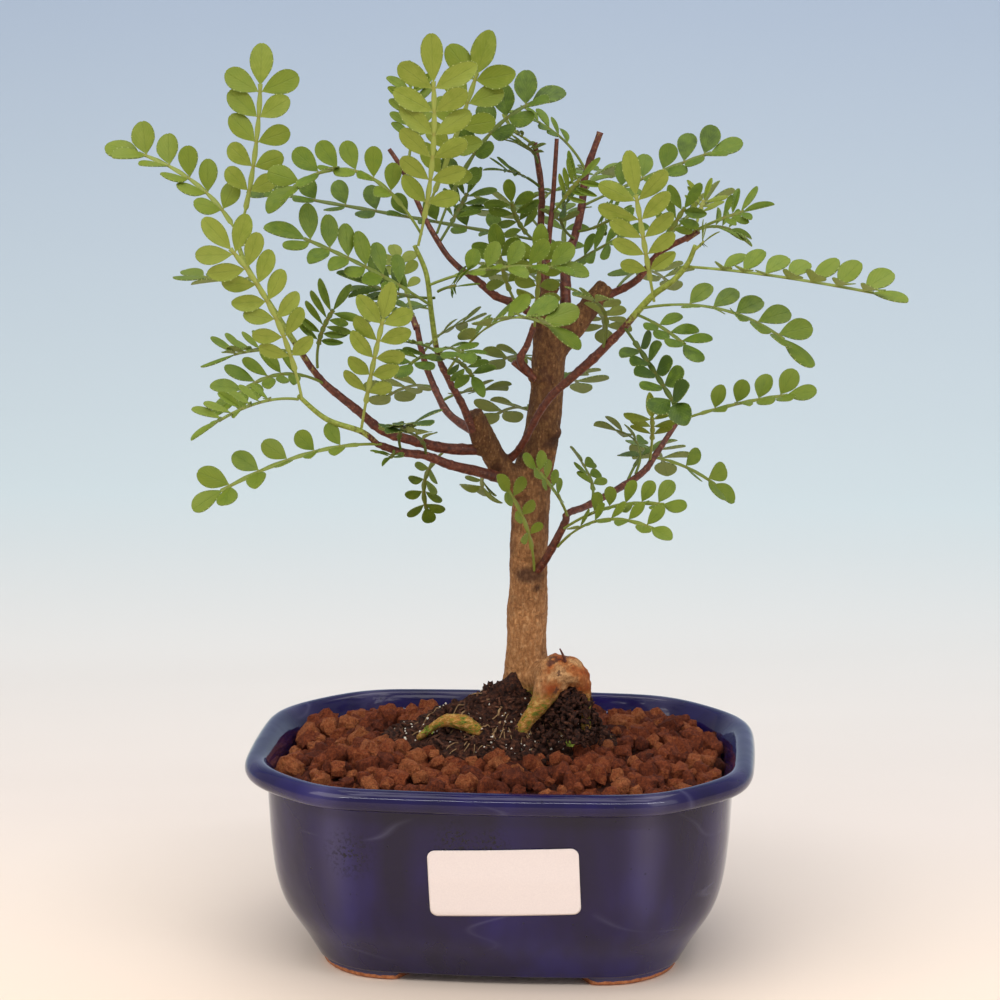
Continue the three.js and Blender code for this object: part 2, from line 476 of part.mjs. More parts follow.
// Leafy shoots and single fronds. A stem has rows of x, y, z and radius. A frond has its
// foot, a middle point and its tip, where its upper side looks, its pairs of leaflets,
// their length and the angle in degrees by which they fold up.
const FOLIAGE = {
  shoot_far_left: {
    stem: [[-50, -30, 175, 0.9], [-59, -30, 189, 0.8], [-68, -28, 203, 0.7], [-71, -26, 211, 0.6]],
    fronds: [
      [[-69, -26, 208], [-85, -20, 226], [-112, -12, 235], SLANT, 5, 10, 38],
      [[-70, -26, 211], [-65, -25, 237], [-64, -22, 264], VIEWER, 5, 10.5, 10],
      [[-66, -28, 200], [-78, -8, 196], [-92, 8, 197], SKY, 3, 9, 10],
      [[-48, -31, 175], [-45, -36, 188], [-35, -42, 200], VIEWER, 5, 9.5, 20],
      [[-53, -30, 179], [-66, -35, 180], [-80, -39, 176], SKY, 5, 9, 30],
    ],
  },
  shoot_low_left: {
    stem: [[-30, -43, 156, 0.9], [-34, -46, 160, 0.8], [-43, -50, 164, 0.75], [-50, -54, 171, 0.6]],
    fronds: [
      [[-49, -54, 170], [-57, -62, 198], [-73, -66, 219], VIEWER, 7, 10, 5],
      [[-34, -46, 161], [-29, -56, 182], [-24, -58, 202], VIEWER, 5, 9.5, 10],
      [[-50, -54, 170], [-63, -62, 169], [-78, -70, 160], SKY, 6, 8.5, 30],
      [[-29, -43, 156], [-52, -56, 154], [-79, -66, 141], SLANT, 5, 8.5, 40],
    ],
  },
  shoot_top_left: {
    stem: [[-15, -20, 175, 0.8], [-16, -22, 180, 0.8], [-17, -25, 190, 0.75], [-18, -28, 201, 0.7],
      [-21, -30, 209, 0.6]],
    fronds: [
      [[-20, -30, 209], [-15, -36, 238], [-16, -38, 267], VIEWER, 6, 12, 5],
      [[-19, -30, 212], [-39, -34, 230], [-62, -38, 217], SLANT, 6, 9.5, 40],
      [[-17, -26, 192], [-37, -34, 205], [-62, -38, 216], SLANT, 6, 10.5, 25],
      [[-17, -28, 198], [4, -27, 203], [28, -24, 201], SLANT, 5, 8.5, 38],
      [[-15, -21, 177], [-19, -36, 179], [-23, -52, 176], SKY, 3, 8, 10],
      [[-15, -21, 178], [-20, -31, 182], [-27, -39, 184], SKY, 3, 7, 10],
      [[-15, -21, 177], [-7, -32, 176], [-2, -40, 169], SLANT, 3, 7, 10],
      [[-15, -21, 178], [-10, -38, 182], [-3, -54, 181], SKY, 3, 7, 10],
      [[-15, -27, 196], [-9, -30, 198], [-2, -33, 197], SLANT, 3, 7.5, 20],
      [[-16, -25, 194], [-30, -19, 195], [-46, -14, 201], SLANT, 5, 10, 25],
    ],
  },
  shoot_top: {
    stem: [[-10, -10, 200, 0.9], [-14, -10, 204, 0.8], [-18, -9, 210, 0.8], [-21, -7, 215, 0.7],
      [-27, -4, 227, 0.7], [-31, -3, 233, 0.6]],
    fronds: [
      [[-21, -7, 214], [-10, -12, 241], [-2, -14, 266], VIEWER, 5, 11.5, 10],
      [[-17, -9, 210], [-3, 0, 237], [17, 6, 248], SLANT, 5, 9.5, 30],
      [[-26, -4, 227], [-25, 2, 242], [-27, 6, 258], VIEWER, 5, 8, 20],
      [[-16, -9, 208], [-11, -2, 217], [-5, 4, 229], VIEWER, 4, 8.5, 20],
    ],
  },
  shoot_middle: {
    stem: [[13, 2, 194, 0.9], [14, -2, 208, 0.8], [15, -1, 219, 0.7], [16, 0, 236, 0.6]],
    fronds: [
      [[15, -1, 215], [21, -6, 223], [29, -8, 232], VIEWER, 4, 8, 15],
    ],
  },
  shoot_right: {
    stem: [[36, -36, 187, 1], [44, -42, 197, 0.9], [50, -46, 202, 0.8], [54, -48, 207, 0.7],
      [56, -50, 212, 0.6]],
    fronds: [
      [[45, -42, 196], [42, -50, 215], [38, -54, 239], VIEWER, 5, 11, 5],
      [[54, -47, 206], [80, -60, 205], [113, -74, 201], SKY, 7, 9, 35],
      [[42, -41, 194], [67, -50, 194], [88, -58, 181], SKY, 5, 10, 30],
      [[40, -39, 192], [49, -50, 189], [59, -64, 183], SKY, 3, 8, 20],
      [[37, -37, 188], [46, -58, 179], [55, -80, 169], VIEWER, 5, 9, 45],
      [[56, -50, 211], [59, -53, 214], [62, -56, 217], SLANT, 3, 6, 25],
    ],
  },
  spray_right: {
    stem: [[52.5, -3.5, 208.5, 1], [56, -5, 211, 0.9]],
    fronds: [
      [[55, -5, 211], [57, 0, 218], [60, 3, 226], VIEWER, 3, 7, 20],
      [[55, -5, 211], [66, -8, 216], [77, -12, 219], SLANT, 3, 8.5, 25],
      [[55, -5, 211], [63, 4, 211], [71, 10, 206], SLANT, 3, 8, 25],
    ],
  },
  spray_back_left: {
    stem: [[-26, 19.5, 179, 1], [-27.5, 22.5, 182, 0.9]],
    fronds: [
      [[-27, 22, 181], [-34, 26, 182], [-45, 34, 178], SKY, 3, 8, 10],
      [[-27, 22, 181], [-31, 30, 192], [-35, 38, 202], SKY, 3, 6, 10],
      [[-27, 22, 181], [-34, 50, 182], [-47, 79, 178], BACK, 4, 10, 10],
    ],
  },
  frond_left_b: { fronds: [[[-46, -29, 170], [-60, -42, 174], [-74, -52, 163], SLANT, 5, 9, 30]] },
  frond_arching: { fronds: [[[-14, -18, 171], [5, -36, 190], [24, -42, 183], SKY, 5, 10, 30]] },
  frond_dark_long: { fronds: [[[12, 9, 206], [-31, 12, 213], [-75, 14, 220], SLANT, 8, 8, 38]] },
  frond_top_a: { fronds: [[[23, 22, 225], [14, 22, 236], [0, 16, 243], SKY, 4, 8, 10]] },
  frond_top_b: { fronds: [[[9, 10, 233], [4, 6, 237], [-3, 2, 240], SKY, 3, 6, 20]] },
  frond_upright: { fronds: [[[10, -3, 183], [12, -16, 198], [13, -20, 213], VIEWER, 4, 8, 15]] },
  frond_twig_a: { fronds: [[[11, 10, 221], [4, 4, 226], [-5, -1, 227], SKY, 4, 7, 10]] },
  frond_twig_b: { fronds: [[[10, 10, 228], [8, 3, 233], [2, -5, 237], SKY, 4, 7, 10]] },
  frond_twig_c: { fronds: [[[11, 9, 205], [5, -4, 214], [4, -12, 226], VIEWER, 4, 8, 15]] },
  frond_twig_d: { fronds: [[[11, 10, 215], [13, 20, 219], [19, 30, 218], BACK, 3, 8, 10]] },
  frond_right_a: { fronds: [[[18, 13, 198], [28, 2, 205], [43, -10, 214], SLANT, 4, 9, 15]] },
  frond_right_b: { fronds: [[[21, 18, 208], [29, 14, 211], [38, 8, 218], SLANT, 4, 8, 15]] },
  frond_right_top: { fronds: [[[22, 20, 215], [45, 25, 225], [68, 28, 233], SLANT, 5, 9, 30]] },
  frond_right_c: { fronds: [[[45, 1, 204], [53, 14, 213], [66, 24, 220], BACK, 3, 9, 10]] },
  frond_inner_a: { fronds: [[[-24, -38, 153], [-22, -50, 162], [-12, -66, 166], SKY, 3, 8, 10]] },
  frond_inner_b: { fronds: [[[-18, -32, 151], [-19, -46, 159], [-26, -60, 163], SKY, 3, 7, 20]] },
  frond_inner_c: { fronds: [[[-26, -40, 154], [-26, -46, 153], [-29, -53, 152], SKY, 2, 6, 20]] },
  frond_inner_d: { fronds: [[[-14, -10, 149], [-22, 2, 137], [-21, 14, 122], VIEWER, 4, 6, 15]] },
  frond_inner_e: { fronds: [[[-4, -14, 143], [-5, -2, 138], [-6, 10, 130], VIEWER, 2, 7, 15]] },
  frond_trunk_a: { fronds: [[[10, -1, 112], [8, -13, 129], [1, -20, 143], SLANT, 3, 6, 30]] },
  frond_trunk_b: { fronds: [[[20, -7, 129], [16, -18, 140], [8, -24, 150], SLANT, 4, 6, 30]] },
  frond_low_a: { fronds: [[[19, -8, 126], [36, -22, 136], [54, -32, 137], SLANT, 5, 7, 40]] },
  frond_low_b: { fronds: [[[17, -5, 120], [32, -28, 133], [50, -46, 132], SLANT, 5, 6.5, 35]] },
  frond_low_c: { fronds: [[[26, 4, 131], [25, 17, 136], [18, 26, 144], BACK, 3, 6.5, 15]] },
  frond_low_d: { fronds: [[[38, 24, 136], [37, 32, 145], [22, 40, 147], BACK, 2, 7.5, 15]] },
  frond_low_e: { fronds: [[[42, 29, 139], [43, 20, 151], [42, 13, 160], VIEWER, 3, 8.5, 15]] },
  frond_low_f: { fronds: [[[42, 30, 140], [55, 40, 134], [68, 47, 123], SLANT, 2, 8.5, 30]] },
  frond_low_g: { fronds: [[[49, 39, 149], [70, 35, 156], [91, 30, 160], SLANT, 4, 8.5, 40]] },
  frond_back_a: { fronds: [[[-24, 18, 172], [-17, 28, 178], [-6, 38, 180], BACK, 3, 8, 10]] },
  frond_back_b: { fronds: [[[-20, 14, 162], [-30, 30, 160], [-43, 44, 151], BACK, 3, 9, 10]] },
  frond_back_c: { fronds: [[[-18, 10, 159], [-11, 24, 160], [0, 38, 158], BACK, 3, 8, 10]] },
  frond_back_d: { fronds: [[[12, 9, 152], [3, 26, 155], [-10, 40, 146], BACK, 3, 9, 10]] },
  frond_back_e: { fronds: [[[12, 10, 167], [4, 28, 170], [-7, 42, 164], BACK, 3, 8, 10]] },
  frond_back_f: { fronds: [[[24, 10, 186], [28, 26, 182], [27, 42, 172], BACK, 3, 8, 10]] },
  frond_front: { fronds: [[[31, -32, 182], [31, -42, 194], [23, -54, 198], SKY, 3, 8, 15]] },
  frond_inner_f: { fronds: [[[5, -1, 189], [2, -13, 200], [0, -17, 214], VIEWER, 3, 8, 15]] },
  frond_right_d: { fronds: [[[45, 1, 204], [50, -6, 214], [57, -10, 225], VIEWER, 3, 8, 15]] },
  frond_right_e: { fronds: [[[20, 17, 206], [17, 6, 214], [24, -2, 224], SLANT, 3, 8, 15]] },
  frond_rear_a: { fronds: [[[22, 21, 217], [25, 50, 222], [28, 81, 219], BACK, 4, 10, 10]] },
  frond_rear_b: { fronds: [[[11, 10, 209], [0, 38, 213], [-12, 68, 206], BACK, 4, 10, 10]] },
  frond_rear_c: { fronds: [[[33, 10, 193], [40, 42, 194], [48, 74, 184], BACK, 4, 10, 10]] },
  frond_rear_d: { fronds: [[[12, 7, 190], [5, 40, 193], [-8, 74, 186], BACK, 4, 10, 10]] },
  frond_rear_e: { fronds: [[[36, 20, 135], [42, 50, 139], [46, 80, 124], BACK, 4, 10, 10]] },
  frond_rear_f: { fronds: [[[12, 9, 160], [16, 42, 162], [20, 72, 152], BACK, 4, 10, 10]] },
  frond_rear_g: { fronds: [[[18, 11, 192], [16, 34, 206], [15, 60, 212], BACK, 3, 9, 10]] },
};

// A frond's curve and, at any part of it, its frame: forward, across and up.
function frondCurve([foot, middle, tip]) {
  const bend = point(middle).multiplyScalar(2).addScaledVector(point(foot), -0.5).addScaledVector(point(tip), -0.5);
  return new THREE.QuadraticBezierCurve3(point(foot), bend, point(tip));
}

function frondFrame(curve, along, look) {
  const forward = curve.getTangent(along);
  const across = forward.clone().cross(point(look)).normalize();
  const up = across.clone().cross(forward);
  return { place: curve.getPoint(along), forward, across, up };
}

// A thin closed blade from corner points with their normals and flat faces.
function bladeSolid(corners, faces, thickness) {
  const vertices = [];
  [0.5, -0.5].forEach((half) => {
    corners.forEach(({ place, up }) => {
      vertices.push(place.clone().addScaledVector(up, half * thickness).toArray());
    });
  });
  const under = corners.length;
  const triangles = [];
  const edges = new Set();
  faces.forEach((face) => {
    triangles.push(face, face.toReversed().map((i) => i + under));
    face.forEach((from, i) => edges.add(from + "," + face[(i + 1) % 3]));
  });
  edges.forEach((edge) => {
    const [from, to] = edge.split(",").map(Number);
    if (!edges.has(to + "," + from)) {
      triangles.push([from + under, to + under, to], [from + under, to, from]);
    }
  });
  return toSolid(closedGeometry(vertices, triangles));
}

// Triangles across a convex outline, from the edge between its ends to its far side.
function zigzag(ids) {
  const triangles = [];
  let low = 0;
  let high = ids.length - 1;
  while (high - low > 1) {
    if ((high - low) % 2) {
      triangles.push([ids[low], ids[low + 1], ids[high]]);
      low += 1;
    } else {
      triangles.push([ids[low], ids[high - 1], ids[high]]);
      high -= 1;
    }
  }
  return triangles;
}

// The outer points of an oval leaflet: part of its length, part of its half width.
const OVAL = [[0.36, -0.98], [0.93, -0.5], [0.93, 0.5], [0.36, 0.98]];

// A leaflet's outer points from the middle of its foot.
function leafletPoints(frame, hand, lean, fold, length, width) {
  const { place, forward, across, up } = frame;
  const out = across.clone().multiplyScalar(hand * Math.cos(fold)).addScaledVector(up, Math.sin(fold));
  const axis = out.clone().multiplyScalar(Math.sin(lean)).addScaledVector(forward, Math.cos(lean));
  const side = forward.clone().multiplyScalar(Math.sin(lean)).addScaledVector(out, -Math.cos(lean));
  const normal = axis.clone().cross(side).multiplyScalar(hand);
  const points = OVAL.map(([along, beside]) => ({
    place: place.clone().addScaledVector(axis, along * length).addScaledVector(side, (beside * width) / 2),
    up: normal,
  }));
  return hand < 0 ? points.reverse() : points;
}

// A frond as its stations along the rachis, before any leaflet is placed.
function layFrond(row) {
  const [, , , look, pairs, length, fold] = row;
  const curve = frondCurve(row);
  const total = curve.getLength();
  const shown = Math.max(2, Math.round(pairs * LEAFLET_SHARE));
  const end = 1 - (length * TIP_LEAFLET) / total;
  const foot = Math.min(MOST_BARE, BARE_FOOT / total);
  const spacing = Math.min((end - foot) / shown, (length * WIDEST_SPACING) / total);
  const stations = [{ along: 0 }];
  for (let pair = 0; pair < shown; pair++) {
    const middle = end - (shown - 1 - pair + LAST_PAIR) * spacing;
    const half = Math.min(LEAFLET_FOOT * spacing, RACHIS_HALF / total);
    stations.push({ along: middle - half }, { along: middle + half, pair });
  }
  stations.push({ along: end, pair: shown });
  stations.forEach((station, i) => {
    Object.assign(station, frondFrame(curve, station.along, look));
    const half = i === 0 ? RACHIS_HALF + 0.1 : RACHIS_HALF;
    station.corners = [-1, 1].map((hand) => ({
      place: station.place.clone().addScaledVector(station.across, hand * half),
      up: station.up,
    }));
  });
  const wide = Math.min(LEAFLET_WIDTH * length, LEAFLET_FILL * spacing * total);
  return { stations, shown, length, wide, fold: THREE.MathUtils.degToRad(fold) };
}

function stripFaces(count) {
  const faces = [];
  for (let i = 0; i < count - 1; i++) {
    const left = 2 * i;
    faces.push([left, left + 1, left + 3], [left, left + 3, left + 2]);
  }
  return faces;
}

function stripSolid(frond, thickness) {
  const corners = frond.stations.flatMap((station) => station.corners);
  return bladeSolid(corners, stripFaces(frond.stations.length), thickness);
}

const boxOf = (solid) => solid.boundingBox();

function boxesMeet(a, b) {
  return [0, 1, 2].every((axis) => a.min[axis] < b.max[axis] && b.min[axis] < a.max[axis]);
}

// What already stands, so that each leaflet can keep clear of it.
const standing = [];
function stand(owner, solid) {
  standing.push({ owner, solid, box: boxOf(solid) });
}

function isClear(owner, solid) {
  const box = boxOf(solid);
  return standing.every(
    (other) => other.owner === owner || !boxesMeet(box, other.box) || solid.intersect(other.solid).isEmpty(),
  );
}

// A leaflet grown a little on all sides, for the test of its clearance.
function leafletRoom(foot, outer) {
  const ring = [foot[0], ...outer, foot[1]];
  const centre = new THREE.Vector3();
  ring.forEach(({ place }) => centre.addScaledVector(place, 1 / ring.length));
  const grown = ring.map(({ place }) => ({ place: place.clone().lerp(centre, -ROOM), up: outer[0].up }));
  return bladeSolid(grown, zigzag(grown.map((_, i) => i)), BLADE + 2 * GAP);
}

// The folds tried in turn when a leaflet would touch another leaf or a twig, in degrees.
const BENDS = [0, 16, -16, 32, -32, 48].map(THREE.MathUtils.degToRad);

function growFrond(owner, frond, seed) {
  const { stations, shown, length, wide, fold } = frond;
  const corners = stations.flatMap((station) => station.corners);
  const faces = stripFaces(stations.length);
  const rooms = [];
  const add = (frame, hand, footIds, lean, reach, breadth) => {
    const foot = footIds.map((i) => corners[i]);
    for (const bend of BENDS) {
      const tilt = hand ? fold + bend : bend;
      const outer = leafletPoints(frame, hand || 1, lean, tilt, reach, breadth);
      const room = leafletRoom(foot, outer);
      if (isClear(owner, room)) {
        const start = corners.length;
        corners.push(...outer);
        const ids = [footIds[0], ...outer.map((_, i) => start + i), footIds[1]];
        faces.push(...zigzag(ids));
        rooms.push(room);
        return;
      }
    }
  };
  stations.forEach((station, i) => {
    if (station.pair === undefined) {
      return;
    }
    if (station.pair === shown) {
      const frame = { ...station, across: station.forward, forward: station.across.clone().negate() };
      add(frame, 0, [2 * i + 1, 2 * i], Math.PI / 2, length * TIP_LEAFLET, wide);
      return;
    }
    const size = LOWEST_LEAFLET + ((1 - LOWEST_LEAFLET) * station.pair) / (shown - 1);
    [-1, 1].forEach((hand) => {
      const near = 2 * (i - 1) + (hand > 0 ? 1 : 0);
      const far = 2 * i + (hand > 0 ? 1 : 0);
      const place = corners[near].place.clone().lerp(corners[far].place, 0.5);
      const reach = length * size * (1 + LEAFLET_SPREAD * (chance(seed + i, hand + 2) - 0.5));
      const ids = hand > 0 ? [near, far] : [far, near];
      add({ ...station, place }, hand, ids, LEAFLET_LEAN, reach, wide * size);
    });
  });
  rooms.forEach((room) => stand(owner, room));
  return bladeSolid(corners, faces, BLADE);
}

const object = new THREE.Group();
object.name = "chinese_pepper_bonsai";

function place(name, geometry, material) {
  const mesh = new THREE.Mesh(geometry, material);
  mesh.name = name;
  object.add(mesh);
}

const wood = unite(woodSolid(0));
const woodRoom = woodSolid(GAP);
const woodAround = unite(woodRoom);

place("pot", potGeometry(), GLAZE);
place("blank_label", labelGeometry(), PAPER);
place("granule_soil", soilGeometry(), CLAY);
place("root_ball", toGeometry(largest(rootBallSolid().subtract(woodAround))), PEAT);
place("trunk_and_branches", toGeometry(largest(wood)), BARK);

woodRoom.forEach((solid) => stand("wood", solid));
const laid = Object.entries(FOLIAGE).map(([name, { stem, fronds }]) => {
  const rachises = fronds.map(layFrond);
  rachises.forEach((frond) => stand(name, stripSolid(frond, BLADE + 2 * GAP)));
  if (stem) {
    stand(name, limb(stem, 5, GAP, 1));
  }
  return { name, stem, rachises };
});
laid.forEach(({ name, stem, rachises }, group) => {
  const parts = rachises.map((frond, i) => growFrond(name, frond, 31 * group + 7 * i));
  if (stem) {
    parts.push(limb(stem, 5, 0, 1));
  }
  place(name, toGeometry(largest(unite(parts).subtract(woodAround))), LEAF);
});

export default object;
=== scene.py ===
# A chinese pepper bonsai in a cobalt glazed pot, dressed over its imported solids.
# Sizes are in millimetres until they are turned to metres by MM.
import functools
import math
import random

import bmesh
import bpy
from mathutils import Matrix, Vector, noise


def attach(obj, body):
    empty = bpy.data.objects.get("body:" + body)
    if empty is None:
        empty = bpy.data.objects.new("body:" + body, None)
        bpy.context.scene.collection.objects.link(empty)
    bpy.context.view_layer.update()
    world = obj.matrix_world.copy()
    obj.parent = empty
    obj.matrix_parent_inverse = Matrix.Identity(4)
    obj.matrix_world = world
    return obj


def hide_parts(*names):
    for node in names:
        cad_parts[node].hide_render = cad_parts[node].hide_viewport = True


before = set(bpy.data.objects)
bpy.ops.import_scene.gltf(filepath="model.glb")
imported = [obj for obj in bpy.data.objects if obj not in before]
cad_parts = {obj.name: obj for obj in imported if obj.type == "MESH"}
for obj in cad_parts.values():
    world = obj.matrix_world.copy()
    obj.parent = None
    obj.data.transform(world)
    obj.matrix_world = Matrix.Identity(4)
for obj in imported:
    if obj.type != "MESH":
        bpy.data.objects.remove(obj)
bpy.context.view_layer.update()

MM = 0.001
TURN = 2 * math.pi

# Camera, as the photograph was taken: in front, a little to the right, looking down.
CAMERA_TURN = math.radians(4.7)
CAMERA_DISTANCE = 850
CAMERA_RISE = math.radians(16)
CAMERA_PITCH = math.radians(11.4)
CAMERA_AIM_HEIGHT = 60
CAMERA_LENS = 108.5
CAMERA_SENSOR = 36

# Pot
POT_CENTRE = Vector((1.2, -3.2))
POT_WIDTH = 145.6
POT_DEPTH = 112.8
POT_HEIGHT = 62
FRONT_PANEL = 95
SIDE_PANEL = 62
FRONT_BULGE = 1.3
SIDE_BULGE = 0.4
CORNER_BULGE = 0.3
CORNER_TRIM = 11
# A corner takes no more than this share of its short wall.
TRIM_SHARE = 0.42
LIP_RADIUS = 3.2
LIP_STEPS = 14
# The lip rolls from outside below to inside above, in degrees.
LIP_ARC = (232, 35)
FOOT_HEIGHT = 3
FOOT_WALL = 9
FOOT_GAP_X = 56
FOOT_GAP_Y = 26
FOOT_INSET = 21.4
# How far a foot reaches into the wall, and how square it is across, 1 for round.
FOOT_OVERLAP = 1.5
FOOT_SQUARENESS = 0.35
# The ends of a foot are this much thinner.
FOOT_END = 0.9
FOOT_COLUMNS = 20
# Below about this height the wall and the feet are bare clay.
UNGLAZED_HEIGHT = 1.9
OUTER_WALL = [(20, 3), (18.6, 5.5), (16, 10), (11, 18), (8.4, 26), (7.1, 36), (6.5, 46), (6.3, 51), (6.2, 55)]
OUTER_STEPS = 40
INNER_STEPS = 24
INNER_WALL = [(6.2, 60.2), (7.4, 58.6), (8.7, 56), (9.6, 50), (10.4, 40), (14, 22), (24, 10), (30, 8)]

# Label
LABEL_WIDTH = 42
LABEL_HEIGHT = 19.5
LABEL_CENTRE = (5.5, 35)
LABEL_TILT = math.radians(2.2)
LABEL_CORNER = 2.2
# The middle of the paper stands this far off the wall.
LABEL_LIFT = 0.38
LABEL_THICKNESS = 0.26
LABEL_COLUMNS = 84
LABEL_ROWS = 39

# Soil and root ball
SOIL_EDGE = 57.5
SOIL_MIDDLE = 61.5
GRAIN_PITCH = 4.3
GRAIN_SIZES = (2.9, 3.6, 4.2, 4.8, 5.4, 6.1)
GRAIN_KINDS = 8
GRAIN_JITTER = 1.1
GRAIN_COLUMNS = 20
GRAIN_INSET = 9.2
# The pot's inner wall at the soil, and how steeply the soil falls off outside the root ball.
SOIL_INSET = 9.5
SOIL_FALL = 22
ROOT_BALL_CENTRE = (-2, 2)
ROOT_BALL_HALF = (31, 19)
ROOT_BALL_RISE = 22.5
ROOT_BALL_PEAK = (7, -2)
ROOT_BALL_SLOPE = 0.68

# Leaves
LEAFLET_WIDTH = 0.68
BARE_FOOT = 8
WIDEST_SPACING = 1.3
TIP_LEAFLET = 1.1
LEAFLET_LEAN = math.radians(57)
LEAF_THICKNESS = 0.028

# Where a leaf's upper side looks.
VIEWER = (0, -1, 0.35)
SLANT = (0, -0.7, 0.8)
SKY = (0, -0.25, 1)
BACK = (0, 0.6, 0.8)

# Wood: rows of x, y, z and radius, from the lower end outwards.
TRUNK = [
  [7, 5, 52, 6.5],
  [7, 5, 70, 7.5],
  [7, 5, 80, 6.3],
  [8, 4, 109, 5.4],
  [9, 5, 138, 5.6],
  [12, 5, 152, 5.1],
  [13, 6, 166, 4.7],
  [14, 6, 179, 4.9],
  [13, 6, 186, 3.4],
]
LIMBS = [
  [[14, 6, 174, 4], [23, 8, 185, 3.3], [30, 11, 193, 3]],
  [[8, 4, 133, 4], [0, -2, 143, 3.4], [-4, -6, 152, 3.1], [-7, -9, 159, 2.8]],
  [[14, 6, 180, 2.7], [13, 5, 190, 2.4], [15, 5, 194, 2]],
]
ROOTS = [
  [[8, 4, 76, 4], [12.5, -1, 81, 4.4], [17, -5, 83, 5.3], [21, -6.3, 82.8, 4.6], [24.3, -6.5, 80, 2.4],
    [25.3, -6.3, 75, 1.5], [25.5, -6, 66, 1.2]],
  [[16, -6.5, 82, 5.6], [14.2, -8.5, 78.5, 4], [12.6, -9.5, 75, 2.9], [10.4, -10, 72, 2.4], [7, -11, 67, 1.9],
    [5.5, -10.5, 60, 1.5]],
  [[-23, -8, 63, 1.1], [-18.5, -11, 67.5, 1.2], [-14.6, -12, 69.6, 1.8], [-10, -12.5, 69.4, 2.4],
    [-7, -12.5, 67.9, 2.1], [-4.8, -12, 66, 1.6], [-3, -10, 62, 1.3]],
]
BRANCHES = [
  [[-3, -5, 148, 1.7], [-14, -10, 149, 1.5], [-22, -16, 152, 1.4], [-31, -22, 156, 1.3], [-38, -27, 163, 1.2],
    [-46, -29, 170, 1], [-50, -30, 175, 0.9]],
  [[3, 0, 138, 1.6], [-4, -14, 143, 1.5], [-12, -24, 147, 1.3], [-18, -32, 151, 1.2], [-24, -38, 153, 1.1],
    [-30, -43, 156, 0.9]],
  [[-6, -8, 151, 1.3], [-9, -13, 161, 1.1], [-12, -17, 168, 1], [-15, -20, 175, 0.9]],
  [[-4, -5, 151, 1.3], [-15, 6, 156, 1.1], [-20, 14, 162, 1], [-24, 18, 171, 0.9], [-26, 20, 180, 0.8]],
  [[12, 4, 184, 1.3], [5, 0, 189, 1.2], [-1, -4, 192, 1.1], [-6, -8, 197, 1], [-10, -10, 200, 0.9]],
  [[10, 4, 167, 1.4], [6, -2, 173, 1.2], [8, -3, 178, 0.9], [10, -3, 184, 0.8]],
  [[18, 7, 180, 1.9], [18, 10, 189, 1.6], [18, 14, 201, 1.4], [20, 18, 206, 1.2], [22, 20, 215, 1.1],
    [23, 22, 224, 1], [27, 24, 236, 0.9]],
  [[13, 6, 188, 1.4], [12, 6, 195, 1.2], [11, 9, 210, 1], [11, 10, 221, 0.9], [9, 10, 234, 0.8]],
  [[1, -2, 143, 1.2], [5, -4, 147, 1.1], [8, -9, 152, 1], [12, -14, 160, 1], [16, -18, 166, 1.1],
    [22, -22, 172, 1.2], [28, -27, 178, 1.3], [36, -36, 187, 1]],
  [[28, 10, 190, 1.3], [33, 9, 192, 1.1], [39, 6, 196, 1], [45, 1, 204, 0.9], [53, -4, 209, 0.8]],
  [[9, 2, 110, 1.5], [13, -2, 115, 1.2], [19, -7, 127, 1.1], [20, -6, 130, 1], [26, 3, 131, 1],
    [39, 24, 135.5, 1], [44, 31, 141, 0.9], [51, 41, 151, 0.7]],
]

